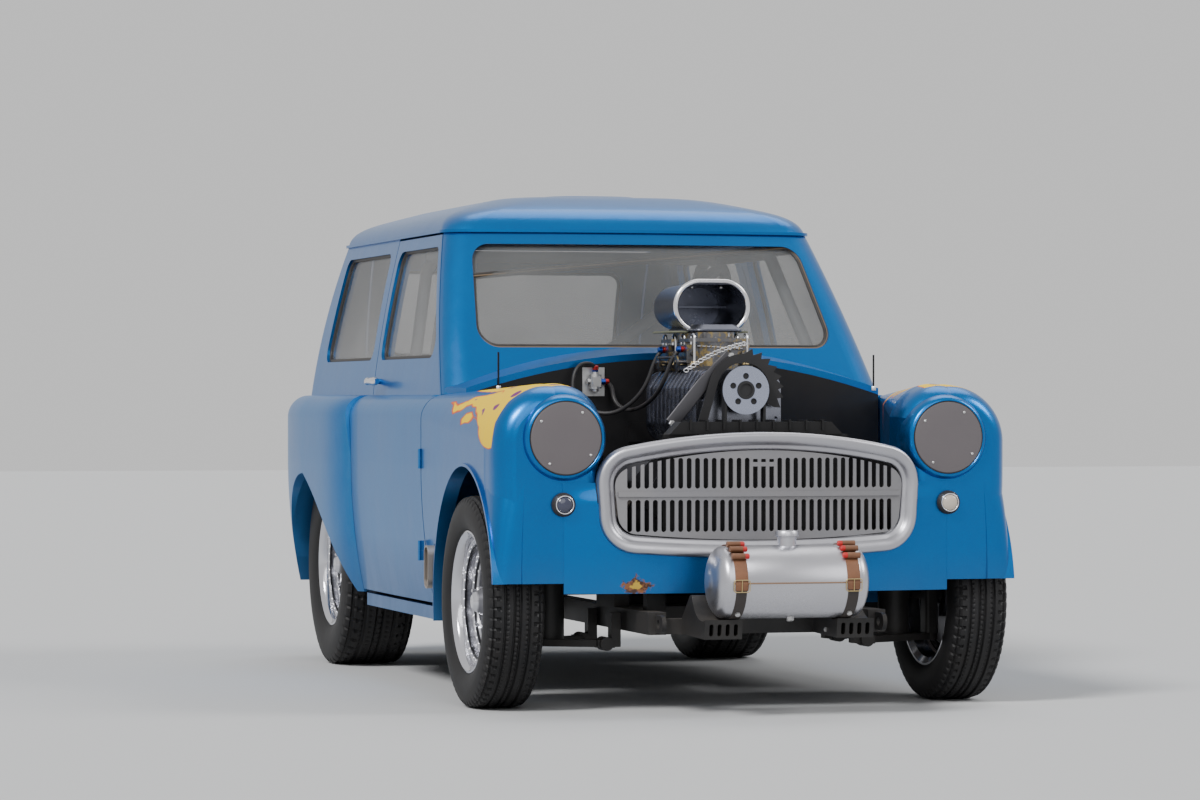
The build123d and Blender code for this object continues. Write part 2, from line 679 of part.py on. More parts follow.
def wing_section(y, inset, low_z):
    """Cross-section of the left wing at place y."""
    share = max(0, (y - WING_NOSE_Y - WING_NOSE_LENGTH) / (WING_REAR_Y - WING_NOSE_Y - WING_NOSE_LENGTH))
    points = []
    for lamp_x, lamp_z, door_x, door_z, in_x, in_z in WING_POINTS:
        x = lamp_x + share * (door_x - lamp_x) + inset * in_x
        z = lamp_z + share * (door_z - lamp_z) + inset * in_z
        points.append((x, z))
    inner, rise, crest, fall, edge = points
    drop = SIDE_FLAT_Z - SILL_Z
    side_radius = (drop ** 2 + SIDE_TUCK ** 2) / (2 * SIDE_TUCK)
    lowest = degrees(asin((SIDE_FLAT_Z - low_z) / side_radius))
    with BuildSketch(across(y)) as section:
        with BuildLine():
            side = CenterArc((edge[0] - side_radius, SIDE_FLAT_Z), side_radius, -lowest, lowest)
            Line(side @ 1, edge)
            ThreePointArc(edge, fall, crest)
            ThreePointArc(crest, rise, inner)
            Polyline(inner, (inner[0], low_z), side @ 0)
        make_face()
    return section.sketch


def wing_form(inset, low_z, rear_y):
    """Solid form of the left wing: round nose, then straight lines to the door."""
    with BuildPart() as nose:
        for place, nose_inset in WING_NOSE:
            ahead = min(place + inset, WING_NOSE_LENGTH)
            add(wing_section(WING_NOSE_Y + ahead, nose_inset + inset, low_z))
        loft()
    with BuildPart() as rear:
        for y in (WING_NOSE_Y + WING_NOSE_LENGTH, rear_y):
            add(wing_section(y, inset, low_z))
        loft(ruled=True)
    return nose.part + rear.part


with BuildPart() as wing:
    add(wing_form(0, SILL_Z, WING_REAR_Y))
    add(wing_form(SHEET, SILL_Z - SHEET, WING_REAR_Y + SHEET), mode=Mode.SUBTRACT)
    with BuildSketch(beside(BODY_HALF_WIDTH - 45)):
        with Locations((FRONT_AXLE_Y + ARCH_SHIFT, FRONT_TYRE_RADIUS)):
            Ellipse(ARCH_HALF_LENGTH + ARCH_LIP, ARCH_HALF_HEIGHT + ARCH_LIP)
    extrude(amount=45)
    with BuildSketch(beside(WING_INNER_X - 10)):
        with Locations((FRONT_AXLE_Y + ARCH_SHIFT, FRONT_TYRE_RADIUS)):
            Ellipse(ARCH_HALF_LENGTH, ARCH_HALF_HEIGHT)
    extrude(amount=400, mode=Mode.SUBTRACT)
    with BuildSketch(beside(WING_INNER_X - 10)):
        Polygon((WING_NOSE_Y - 200, -200), (DOOR_FRONT_Y + 50, -200), (DOOR_FRONT_Y + 50, SILL_Z + 10),
                (FRONT_AXLE_Y, SILL_Z + 10), (FRONT_AXLE_Y, WING_LOW_Z), (WING_NOSE_Y - 200, WING_LOW_Z),
                align=None)
    extrude(amount=400, mode=Mode.SUBTRACT)
    with BuildSketch(beside(WING_INNER_X - 10)):
        Polygon((WING_NOSE_Y - 50, 0), (WING_NOSE_Y + 60, 0), (WING_NOSE_Y + 60, 610), (WING_NOSE_Y - 50, 610),
                align=None)
    extrude(amount=SEAM_X - WING_INNER_X + 10, mode=Mode.SUBTRACT)
    with BuildSketch(beside(WING_INNER_X - 10)):
        Polygon((WING_NOSE_Y + 60, 0), (DOOR_FRONT_Y + 50, 0), (DOOR_FRONT_Y + 50, SHELF_Z),
                (WING_NOSE_Y + 150, SHELF_Z), (WING_NOSE_Y + 60, 680), align=None)
    extrude(amount=WING_DOOR_INNER_X - WING_INNER_X + 20, mode=Mode.SUBTRACT)
    with BuildSketch(across(WING_NOSE_Y + 60)):
        with Locations((LAMP_X, LAMP_Z)):
            Circle(LAMP_RADIUS + 13)
    extrude(amount=66)
    with BuildSketch(across(WING_NOSE_Y + 4)):
        with Locations((PARK_X, PARK_Z)):
            Circle(PARK_RADIUS - 6)
    extrude(amount=10)
    with Locations((SEAM_X, WING_NOSE_Y, PARK_Z - 50)):
        Box(100, 100, 100, align=(Align.MAX, Align.CENTER, Align.MIN), mode=Mode.SUBTRACT)
    with BuildSketch(beside(BODY_HALF_WIDTH - 100)):
        with Locations((EXHAUST_Y, EXHAUST_Z)):
            SlotOverall(EXHAUST_HEIGHT + 10, EXHAUST_WIDTH + 10, rotation=90)
    extrude(amount=200, mode=Mode.SUBTRACT)
    add(extrude(mouth_outline(-2), amount=MOUTH_REACH, mode=Mode.PRIVATE), mode=Mode.SUBTRACT)
both_sides(wing.part, "wing")

# Headlamp covers and parking lamps
with BuildPart() as headlamp_covers:
    for side in (-1, 1):
        with BuildSketch(across(WING_NOSE_Y - 6 - SEAT_GAP)):
            with Locations((side * LAMP_X, LAMP_Z)):
                Circle(LAMP_RADIUS + 6)
        extrude(amount=12)
        with BuildSketch(across(WING_NOSE_Y - 18 - SEAT_GAP)):
            with Locations((side * LAMP_X, LAMP_Z)):
                Circle(LAMP_RADIUS - 3)
        extrude(amount=4)
hand_in(headlamp_covers.part, "headlamp_covers")

with BuildPart() as parking_lamps:
    for side in (-1, 1):
        with BuildSketch(across(WING_NOSE_Y - 6.3)):
            with Locations((side * PARK_X, PARK_Z)):
                Circle(PARK_RADIUS)
        extrude(amount=12)
        with BuildSketch(across(WING_NOSE_Y - 18.3)):
            with Locations((side * PARK_X, PARK_Z)):
                Circle(PARK_RADIUS - 8)
        extrude(amount=10)
hand_in(parking_lamps.part, "parking_lamps")


# Nose: bowed valance, grille frame and slats
def bowed_slab(front_y, sweep, thickness):
    """A slab bowed forwards at the middle, as tall as the nose."""
    reach = 700
    drop = sweep * (reach / GRILLE_HALF_WIDTH) ** 2
    with BuildPart() as slab:
        with BuildSketch(Plane.XY.offset(300)):
            with BuildLine():
                ThreePointArc((-reach, front_y + drop), (0, front_y), (reach, front_y + drop))
                Line((reach, front_y + drop), (reach, front_y + drop + thickness))
                ThreePointArc((reach, front_y + drop + thickness), (0, front_y + thickness),
                              (-reach, front_y + drop + thickness))
                Line((-reach, front_y + drop + thickness), (-reach, front_y + drop))
            make_face()
        extrude(amount=700)
    return slab.part


with BuildPart() as grille_frame:
    add(extrude(mouth_outline(0), amount=MOUTH_REACH, mode=Mode.PRIVATE))
    add(extrude(mouth_outline(GRILLE_FRAME), amount=MOUTH_REACH, mode=Mode.PRIVATE), mode=Mode.SUBTRACT)
    add(bowed_slab(GRILLE_FRONT_Y, GRILLE_SWEEP, GRILLE_DEPTH), mode=Mode.INTERSECT)
hand_in(grille_frame.part, "grille_frame")

DIVIDER_Z = 629
ROW_CENTRES = (DIVIDER_Z - 62, DIVIDER_Z + 60)
ROW_HEIGHTS = (92, 88)
with BuildPart() as grille_slats:
    add(extrude(mouth_outline(GRILLE_FRAME + SEAT_GAP), amount=MOUTH_REACH, mode=Mode.PRIVATE))
    with BuildSketch(across(WING_NOSE_Y + 100)):
        for centre, height in zip(ROW_CENTRES, ROW_HEIGHTS):
            with Locations((0, centre)):
                with GridLocations(SLOT_PITCH, 1, SLOTS_PER_ROW, 1):
                    SlotOverall(height, SLOT_WIDTH, rotation=90)
    extrude(amount=MOUTH_REACH, mode=Mode.SUBTRACT)
    with BuildSketch(across(WING_NOSE_Y + 100)):
        with Locations((0, ROW_CENTRES[1] + ROW_HEIGHTS[1] / 2 - 8)):
            Rectangle(3 * SLOT_PITCH + 8, 34)
            SlotOverall(66, 9, mode=Mode.SUBTRACT)
    extrude(amount=MOUTH_REACH)
    add(bowed_slab(GRILLE_FRONT_Y + 20, GRILLE_SWEEP, SLAT_THICKNESS), mode=Mode.INTERSECT)
    with BuildSketch(across(WING_NOSE_Y + 100)):
        with Locations((0, DIVIDER_Z)):
            Rectangle(2 * (GRILLE_HALF_WIDTH - GRILLE_FRAME - 12), 14)
    rib = extrude(amount=MOUTH_REACH, mode=Mode.PRIVATE)
    add(rib.intersect(bowed_slab(GRILLE_FRONT_Y + 12, GRILLE_SWEEP, 12)))
hand_in(grille_slats.part, "grille_slats")

with BuildPart() as nose_valance:
    with BuildSketch(across(WING_NOSE_Y + 100)):
        with Locations((0, 475)):
            Rectangle(2 * (SEAM_X - SEAT_GAP), 260)
    extrude(amount=MOUTH_REACH)
    add(extrude(mouth_outline(-SEAT_GAP), amount=MOUTH_REACH, mode=Mode.PRIVATE), mode=Mode.SUBTRACT)
    add(bowed_slab(WING_NOSE_Y - 40, 28.7, SHEET), mode=Mode.INTERSECT)
hand_in(nose_valance.part, "nose_valance")

# Engine bay panels: firewall, inner wings and the shelves over the wheels
BAY_HALF_WIDTH = 436
BAY_LOW_Z = 480
BAY_FRONT_Y = WING_NOSE_Y + 70
FIREWALL_TOP_Z = COWL[0][2] - COWL_BAND - SEAT_GAP
with BuildPart() as engine_bay:
    with BuildSketch(Plane.XY.offset(BAY_LOW_Z)):
        with BuildLine():
            wide = BAY_HALF_WIDTH
            Polyline(
                (wide, BAY_FRONT_Y), (wide, FIREWALL_Y), (-wide, FIREWALL_Y), (-wide, BAY_FRONT_Y),
                (-wide - SHEET, BAY_FRONT_Y), (-wide - SHEET, FIREWALL_Y + SHEET),
                (wide + SHEET, FIREWALL_Y + SHEET), (wide + SHEET, BAY_FRONT_Y), close=True,
            )
        make_face()
    extrude(amount=SHELF_Z + SHEET - BAY_LOW_Z)
    with BuildSketch(across(FIREWALL_Y)):
        with BuildLine():
            wide = COWL[0][1] - SEAT_GAP
            Polyline((wide, COWL_EDGE_Z - COWL_BAND - SEAT_GAP), (wide, SHELF_Z), (-wide, SHELF_Z),
                     (-wide, COWL_EDGE_Z - COWL_BAND - SEAT_GAP))
            ThreePointArc((-wide, COWL_EDGE_Z - COWL_BAND - SEAT_GAP), (0, FIREWALL_TOP_Z),
                          (wide, COWL_EDGE_Z - COWL_BAND - SEAT_GAP))
        make_face()
    extrude(amount=-SHEET)
    for side in (-1, 1):
        with BuildSketch(Plane.XY.offset(SHELF_Z)):
            start = WING_NOSE_Y + 150
            front_x = wing_inner_x(start) - 2 * SEAT_GAP
            rear_x = wing_inner_x(FIREWALL_Y) - 2 * SEAT_GAP
            Polygon((side * BAY_HALF_WIDTH, start), (side * front_x, start), (side * rear_x, FIREWALL_Y),
                    (side * BAY_HALF_WIDTH, FIREWALL_Y), align=None)
        extrude(amount=SHEET)
    with Locations((0, FIREWALL_Y - 4, 800)):
        Box(300, 8, 60)
hand_in(engine_bay.part, "engine_bay")

# Engine block with heads, sump and gearbox
with BuildPart() as engine_block:
    with BuildSketch(across(FRONT_AXLE_Y - 110)):
        Polygon((-110, 370), (110, 370), (150, 470), (285, 600), (215, 700), (120, 640), (-120, 640),
                (-215, 700), (-285, 600), (-150, 470), align=None)
    extrude(amount=-540)
    for side in (-1, 1):
        with BuildSketch(Plane(origin=(side * 250, FRONT_AXLE_Y - 100, 665), x_dir=(0.7071, 0, -side * 0.7071),
                               z_dir=(0, 1, 0))):
            RectangleRounded(120, 84, 20)
        extrude(amount=500)
    with BuildSketch(across(FRONT_AXLE_Y + 430)):
        with Locations((0, 385)):
            Circle(84)
    extrude(amount=-520)
hand_in(engine_block.part, "engine_block")

# Supercharger: finned case between two bearing plates, on its intake manifold
CASE_FRONT_Y = FRONT_AXLE_Y - 150
CASE_LENGTH = 520
CASE_TOP_Z = 988
PLATE_HALF_WIDTH = 128
# Columns: x and z of the bearing plate's bolts
PLATE_BOLTS = ((-104, 950), (-112, 900), (-112, 845), (-60, 972), (0, 812), (60, 972), (104, 950), (112, 845))


def case_outline(grow):
    """Section of the supercharger case: rounded block, wider at its middle."""
    with BuildSketch(across(CASE_FRONT_Y)) as outline:
        with BuildLine():
            FilletPolyline((-95 - grow, 782 - grow), (95 + grow, 782 - grow), (118 + grow, 830), (118 + grow, 935),
                           (84 + grow, CASE_TOP_Z), (-84 - grow, CASE_TOP_Z), (-118 - grow, 935), (-118 - grow, 830),
                           radius=16, close=True)
        make_face()
    return outline.sketch


with BuildPart() as supercharger:
    add(extrude(case_outline(0), amount=-CASE_LENGTH, mode=Mode.PRIVATE))
    for along in range(45, CASE_LENGTH - 20, 43):
        fin = extrude(case_outline(9), amount=-9, mode=Mode.PRIVATE)
        add(fin.moved(Location((0, along, 0))))
    with BuildSketch(across(CASE_FRONT_Y)):
        with Locations((0, 880)):
            RectangleRounded(2 * PLATE_HALF_WIDTH, 214, 55)
        for x, z in PLATE_BOLTS:
            with Locations((x, z)):
                Circle(6, mode=Mode.SUBTRACT)
    extrude(amount=14)
    with BuildSketch(across(CASE_FRONT_Y + CASE_LENGTH)):
        with Locations((0, 880)):
            RectangleRounded(2 * PLATE_HALF_WIDTH, 214, 55)
    extrude(amount=-12)
    with BuildSketch(Plane.XY.offset(645)):
        with Locations((0, FRONT_AXLE_Y + 130)):
            Rectangle(250, 470)
    with BuildSketch(Plane.XY.offset(784)):
        with Locations((0, FRONT_AXLE_Y + 130)):
            Rectangle(170, 430)
    loft()
    with BuildSketch(across(CASE_FRONT_Y)):
        with Locations((0, PULLEY_Z)):
            Circle(52)
    extrude(amount=40)
hand_in(supercharger.part, "supercharger")

# Two carburettors along the case, with their bowls and throttle rods
CARB_PLACES = (FRONT_AXLE_Y + 88, FRONT_AXLE_Y + 282)
CARB_BASE_Z = CASE_TOP_Z + SEAT_GAP
CARB_HEIGHT = 113
with BuildPart() as carburettors:
    for y in CARB_PLACES:
        with Locations((0, y, CARB_BASE_Z)):
            Box(196, 150, 12, align=(Align.CENTER, Align.CENTER, Align.MIN))
            Box(120, 92, 78, align=(Align.CENTER, Align.CENTER, Align.MIN))
            Cylinder(60, CARB_HEIGHT, align=(Align.CENTER, Align.CENTER, Align.MIN))
        with BuildSketch(Plane.XY.offset(CARB_BASE_Z + 84)):
            with Locations((0, y)):
                RectangleRounded(188, 142, 22)
        extrude(amount=10)
        for side in (-1, 1):
            with Locations((side * 78, y, CARB_BASE_Z + 20)):
                Box(40, 84, 56, align=(Align.CENTER, Align.CENTER, Align.MIN))
            with Locations((side * 78, y, CARB_BASE_Z + 50)):
                Cylinder(9, 116, rotation=(90, 0, 0))
        with Locations((0, y - 20, CARB_BASE_Z + 24)):
            Cylinder(6, 260, rotation=(0, 90, 0))
    for side in (-1, 1):
        for y in CARB_PLACES:
            with Locations((side * 124, y - 20, CARB_BASE_Z + 24)):
                Cylinder(20, 5, rotation=(0, 90, 0))
        with Locations((side * 124, sum(CARB_PLACES) / 2 - 20, CARB_BASE_Z + 38)):
            Cylinder(4, CARB_PLACES[1] - CARB_PLACES[0], rotation=(90, 0, 0))
hand_in(carburettors.part, "carburettors")

# Air scoop: tapered oval tube with a rolled lip and a closed round back
SCOOP_LIP = 7
SCOOP_WALL = 5
SCOOP_TUBE = 250
SCOOP_TAPER = 0.93
# Columns: place behind the lip, share of the mouth's size
SCOOP_TAIL = ((SCOOP_TUBE, SCOOP_TAPER), (285, 0.85), (303, 0.72), (SCOOP_LENGTH, 0.55))


def scoop_oval(place, share, inset):
    """Section of the scoop behind its lip, set in by a wall."""
    with BuildSketch(across(SCOOP_FACE_Y + place)) as oval:
        with Locations((0, SCOOP_Z)):
            SlotOverall(SCOOP_WIDTH * share - 2 * inset, SCOOP_HEIGHT * share - 2 * inset)
    return oval.sketch


with BuildPart() as air_scoop:
    add(scoop_oval(0, 1, 0))
    add(scoop_oval(SCOOP_TUBE, SCOOP_TAPER, 0))
    loft()
    for place, share in SCOOP_TAIL:
        add(scoop_oval(place, share, 0))
    loft()
    with BuildSketch(Plane.XY.offset(CARB_BASE_Z + CARB_HEIGHT + SEAT_GAP)):
        with Locations((0, sum(CARB_PLACES) / 2)):
            RectangleRounded(164, 330, 24)
    with BuildSketch(Plane.XY.offset(SCOOP_Z - 55)):
        with Locations((0, sum(CARB_PLACES) / 2)):
            RectangleRounded(120, 270, 20)
    loft()
    with BuildSketch(across(SCOOP_FACE_Y + 8)):
        with Locations((0, SCOOP_Z)):
            SlotOverall(SCOOP_WIDTH + SCOOP_LIP, SCOOP_HEIGHT + SCOOP_LIP)
    extrude(amount=14)
    fillet(air_scoop.edges().group_by(Axis.Y)[0], 5)
    add(scoop_oval(-10, 1, SCOOP_WALL))
    add(scoop_oval(SCOOP_TUBE, SCOOP_TAPER, SCOOP_WALL))
    loft(mode=Mode.SUBTRACT)
    with Locations((0, SCOOP_FACE_Y + 210, SCOOP_Z + 2)):
        Box(SCOOP_WIDTH * SCOOP_TAPER - 2, 60, 6)
hand_in(air_scoop.part, "air_scoop")

# Blower drive: top pulley with five recesses, toothed belt and crank pulley
CRANK_Z = 440
BELT_WIDTH = 30
BELT_BACK_Y = CASE_FRONT_Y - 44
TOP_DRUM = 56
with BuildPart() as blower_drive:
    with BuildSketch(across(PULLEY_Y + 6)):
        with Locations((0, PULLEY_Z)):
            Circle(PULLEY_RADIUS)
    extrude(amount=6)
    with BuildSketch(across(PULLEY_Y)):
        with Locations((0, PULLEY_Z)):
            with PolarLocations(41, 5, start_angle=90):
                Circle(9)
    extrude(amount=-4, mode=Mode.SUBTRACT)
    with BuildSketch(across(PULLEY_Y)):
        with Locations((0, PULLEY_Z)):
            Circle(26)
            Circle(19, mode=Mode.SUBTRACT)
    extrude(amount=4)
    with BuildSketch(across(CASE_FRONT_Y - 40 - SEAT_GAP)):
        with Locations((0, PULLEY_Z)):
            Circle(TOP_DRUM)
    extrude(amount=CASE_FRONT_Y - 40 - SEAT_GAP - PULLEY_Y - 6)
    with BuildSketch(across(BELT_BACK_Y)):
        with Locations((0, (PULLEY_Z + CRANK_Z) / 2)):
            SlotCenterToCenter(PULLEY_Z - CRANK_Z, 2 * (TOP_DRUM + 7), rotation=90)
            SlotCenterToCenter(PULLEY_Z - CRANK_Z, 2 * (TOP_DRUM - 0.5), rotation=90, mode=Mode.SUBTRACT)
    extrude(amount=BELT_WIDTH)
    with BuildSketch(across(FRONT_AXLE_Y - 110 - SEAT_GAP)):
        with Locations((0, CRANK_Z)):
            Circle(TOP_DRUM)
    extrude(amount=122)
hand_in(blower_drive.part, "blower_drive")

# Belt guard: a saw-toothed plate curved round the top pulley, on two stays
GUARD_INNER = 80
GUARD_OUTER = 106
GUARD_TIP = 124
GUARD_TEETH = 8
GUARD_START = -28
GUARD_PITCH = 14.5
GUARD_Y = CASE_FRONT_Y - 52


def round_pulley(radius, angle):
    """A point at a radius and angle from the top pulley's centre, seen from the front."""
    return (radius * cos(radians(angle)), PULLEY_Z + radius * sin(radians(angle)))


with BuildPart() as belt_guard:
    with BuildSketch(across(GUARD_Y)):
        with BuildLine():
            teeth = []
            for tooth in range(GUARD_TEETH):
                angle = GUARD_START + tooth * GUARD_PITCH
                teeth.append(round_pulley(GUARD_OUTER, angle))
                teeth.append(round_pulley(GUARD_TIP, angle + 0.25 * GUARD_PITCH))
            last = GUARD_START + GUARD_TEETH * GUARD_PITCH
            teeth.append(round_pulley(GUARD_OUTER, last))
            Polyline(*teeth)
            ThreePointArc(round_pulley(GUARD_OUTER, last), round_pulley(GUARD_OUTER, 125),
                          round_pulley(GUARD_OUTER, 160))
            Polyline(round_pulley(GUARD_OUTER, 160), (-152, 790), (-128, 776), round_pulley(GUARD_INNER, 165))
            ThreePointArc(round_pulley(GUARD_INNER, 165), round_pulley(GUARD_INNER, 70),
                          round_pulley(GUARD_INNER, GUARD_START))
            Line(round_pulley(GUARD_INNER, GUARD_START), round_pulley(GUARD_OUTER, GUARD_START))
        make_face()
    extrude(amount=5)
    for angle in (20, 150):
        stay = round_pulley(93, angle)
        with Locations((stay[0], (GUARD_Y + CASE_FRONT_Y - 14 - SEAT_GAP) / 2, stay[1])):
            Box(12, CASE_FRONT_Y - 14 - SEAT_GAP - GUARD_Y, 12)
hand_in(belt_guard.part, "belt_guard")

# Fuel pressure regulator on the firewall, with its hoses
REGULATOR_X = -262
REGULATOR_Z = 955
REGULATOR_Y = FIREWALL_Y - SEAT_GAP
HOSE_RADIUS = 6.5
# Columns: name, route from the regulator to a carburettor's float bowl
HOSE_ROUTES = (
    ("rear", (
        (REGULATOR_X, REGULATOR_Y - 24, REGULATOR_Z + 28),
        (REGULATOR_X, REGULATOR_Y - 30, REGULATOR_Z + 58),
        (REGULATOR_X - 70, REGULATOR_Y - 40, REGULATOR_Z + 52),
        (REGULATOR_X - 84, REGULATOR_Y - 60, REGULATOR_Z - 60),
        (REGULATOR_X + 20, REGULATOR_Y - 110, REGULATOR_Z - 112),
        (-158, CARB_PLACES[1] + 18, REGULATOR_Z - 40),
        (-118, CARB_PLACES[1], CARB_BASE_Z + 62),
        (-96, CARB_PLACES[1], CARB_BASE_Z + 62),
    )),
    ("front", (
        (REGULATOR_X + 22, REGULATOR_Y - 24, REGULATOR_Z),
        (REGULATOR_X + 52, REGULATOR_Y - 26, REGULATOR_Z),
        (REGULATOR_X + 56, REGULATOR_Y - 40, REGULATOR_Z - 70),
        (-170, CARB_PLACES[0] + 292, REGULATOR_Z - 95),
        (-160, CARB_PLACES[0] + 32, REGULATOR_Z - 40),
        (-122, CARB_PLACES[0], CARB_BASE_Z + 62),
        (-96, CARB_PLACES[0], CARB_BASE_Z + 62),
    )),
)
with BuildPart() as fuel_regulator:
    with Locations((REGULATOR_X, REGULATOR_Y, REGULATOR_Z)):
        Box(70, 4, 88, align=(Align.CENTER, Align.MAX, Align.CENTER))
    with Locations((REGULATOR_X, REGULATOR_Y - 24, REGULATOR_Z)):
        Cylinder(19, 44)
        Cylinder(10, 60)
        Cylinder(9, 50, rotation=(0, 90, 0))
        Box(26, 44, 30)
hand_in(fuel_regulator.part, "fuel_regulator")

for name, route in HOSE_ROUTES:
    with BuildPart() as fuel_hose:
        add(tube(list(route), 19, HOSE_RADIUS))
        add(fuel_regulator.part, mode=Mode.SUBTRACT)
        add(carburettors.part, mode=Mode.SUBTRACT)
    hand_in(fuel_hose.part, f"fuel_hose_{name}")

# Radiator
with BuildPart() as radiator:
    with Locations((0, FRONT_AXLE_Y - 300, 420)):
        Box(560, 50, 380, align=(Align.CENTER, Align.CENTER, Align.MIN))
    with BuildSketch(across(FRONT_AXLE_Y - 335)):
        Polygon((-262, 800), (262, 800), (228, 836), (-228, 836), align=None)
    extrude(amount=-66)
    for x in range(-200, 201, 50):
        with Locations((x, FRONT_AXLE_Y - 302, 812)):
            Box(6, 78, 30, align=(Align.CENTER, Align.CENTER, Align.MIN))
    for side in (-1, 1):
        with Locations((side * 298, FRONT_AXLE_Y - 300, RAIL_Z + RAIL_HEIGHT / 2 + SEAT_GAP)):
            Box(56, 40, 150, align=(Align.CENTER, Align.CENTER, Align.MIN))
hand_in(radiator.part, "radiator")

# Exhaust: four short pipes a side run from the head into one oval outlet
HEADER_PORTS = (-40, 85, 210, 335)
HEADER_RADIUS = 19
HEAD_FACE = (292.6, 622.4)
with BuildPart() as exhaust_headers:
    for side in (-1, 1):
        with BuildSketch(beside(side * 345)):
            with Locations((EXHAUST_Y, EXHAUST_Z)):
                SlotOverall(EXHAUST_HEIGHT, EXHAUST_WIDTH, rotation=90)
        extrude(amount=side * (EXHAUST_TIP_X - 345))
        for port in HEADER_PORTS:
            port_y = FRONT_AXLE_Y + port
            add(tube([(side * HEAD_FACE[0], port_y, HEAD_FACE[1]),
                      (side * (HEAD_FACE[0] + 62), port_y, HEAD_FACE[1] - 62),
                      (side * 385, EXHAUST_Y, EXHAUST_Z + 30)], 40, HEADER_RADIUS))
        with BuildSketch(beside(side * 430)):
            with Locations((EXHAUST_Y, EXHAUST_Z)):
                SlotOverall(EXHAUST_HEIGHT - 10, EXHAUST_WIDTH - 10, rotation=90)
        extrude(amount=side * 500, mode=Mode.SUBTRACT)
hand_in(exhaust_headers.part, "exhaust_headers")

# Fuel tank
with BuildPart() as fuel_tank:
    with BuildSketch(Plane.XY.offset(TANK_Z)):
        with BuildLine():
            straight = TANK_HALF_LENGTH - TANK_DOME
            front = TANK_Y - TANK_RADIUS
            bulge = (TANK_HALF_LENGTH - 0.28 * TANK_DOME, TANK_Y - 0.62 * TANK_RADIUS)
            crown = TANK_Y - 0.2 * TANK_RADIUS
            ThreePointArc((TANK_HALF_LENGTH, crown), bulge, (straight, front))
            Line((straight, front), (-straight, front))
            ThreePointArc((-straight, front), (-bulge[0], bulge[1]), (-TANK_HALF_LENGTH, crown))
            Polyline((-TANK_HALF_LENGTH, crown), (-TANK_HALF_LENGTH, TANK_Y), (TANK_HALF_LENGTH, TANK_Y),
                     (TANK_HALF_LENGTH, crown))
        make_face()
    revolve(axis=Axis((0, TANK_Y, TANK_Z), (1, 0, 0)))
    with Locations((0, TANK_Y, TANK_Z)):
        Cylinder(27, TANK_RADIUS + 24, align=(Align.CENTER, Align.CENTER, Align.MIN))
    with Locations((0, TANK_Y, TANK_Z + TANK_RADIUS + 24)):
        Cylinder(34, 16, align=(Align.CENTER, Align.CENTER, Align.MIN))
hand_in(fuel_tank.part, "fuel_tank")

with BuildPart() as tank_straps:
    for side in (-1, 1):
        with BuildSketch(beside(side * STRAP_X - STRAP_WIDTH / 2)):
            with Locations((TANK_Y, TANK_Z)):
                Circle(TANK_RADIUS + SEAT_GAP + STRAP_THICKNESS)
                Circle(TANK_RADIUS + SEAT_GAP, mode=Mode.SUBTRACT)
        extrude(amount=STRAP_WIDTH)
hand_in(tank_straps.part, "tank_straps")

# Front frame: rails, crossmembers, tank brackets and steering rack housing
RACK_Y = FRONT_AXLE_Y + STEER_ARM
RACK_Z = 331
RACK_RADIUS = 11
RACK_HALF = 250
BRACKET_X = 195
BRACKET_WIDTH = 110
TOW_RADIUS = 13
TOW_THICKNESS = 12
with BuildPart() as front_frame:
    for side in (-1, 1):
        with BuildSketch(across(FRONT_AXLE_Y - 440)):
            with Locations((side * RAIL_X, RAIL_Z)):
                Rectangle(RAIL_WIDTH, RAIL_HEIGHT)
        extrude(amount=-(DOOR_FRONT_Y - SEAT_GAP - FRONT_AXLE_Y + 440))
    with Locations((0, FRONT_AXLE_Y, RAIL_Z)):
        Box(2 * RAIL_X, 150, 60)
    with Locations((0, FRONT_AXLE_Y - 400, RAIL_Z - 10)):
        Box(2 * RAIL_X, 44, 44)
    for side in (-1, 1):
        with BuildSketch(beside(side * BRACKET_X - BRACKET_WIDTH / 2)):
            Polygon((FRONT_AXLE_Y - 410, 232), (FRONT_AXLE_Y - 640, 226), (FRONT_AXLE_Y - 650, 292),
                    (FRONT_AXLE_Y - 518, 345), (FRONT_AXLE_Y - 498, 345), (FRONT_AXLE_Y - 410, 272), align=None)
            with Locations((TANK_Y, TANK_Z)):
                Circle(TANK_RADIUS + STRAP_THICKNESS + 2 * SEAT_GAP, mode=Mode.SUBTRACT)
        extrude(amount=BRACKET_WIDTH)
        with BuildSketch(across(FRONT_AXLE_Y - 424)):
            with Locations((side * BRACKET_X, 252)):
                with GridLocations(24, 1, 4, 1):
                    SlotOverall(34, 12, rotation=90)
        extrude(amount=300, mode=Mode.SUBTRACT)
    with BuildSketch(beside(-RACK_HALF)):
        with Locations((RACK_Y, RACK_Z)):
            Circle(RACK_RADIUS + 12)
            with Locations((0, -30)):
                Rectangle(30, 60)
    extrude(amount=2 * RACK_HALF)
    with BuildSketch(beside(-RACK_HALF)):
        with Locations((RACK_Y, RACK_Z)):
            Circle(RACK_RADIUS + RUNNING_GAP)
    extrude(amount=2 * RACK_HALF, mode=Mode.SUBTRACT)
    with Locations((0, RACK_Y, RAIL_Z)):
        Box(2 * RAIL_X, 60, 50)
    for side in (-1, 1):
        with BuildSketch(beside(side * RAIL_X - TOW_THICKNESS / 2)):
            with Locations((FRONT_AXLE_Y - 470, RAIL_Z)):
                SlotOverall(90, 50)
                Circle(TOW_RADIUS, mode=Mode.SUBTRACT)
        extrude(amount=TOW_THICKNESS)
hand_in(front_frame.part, "front_frame")

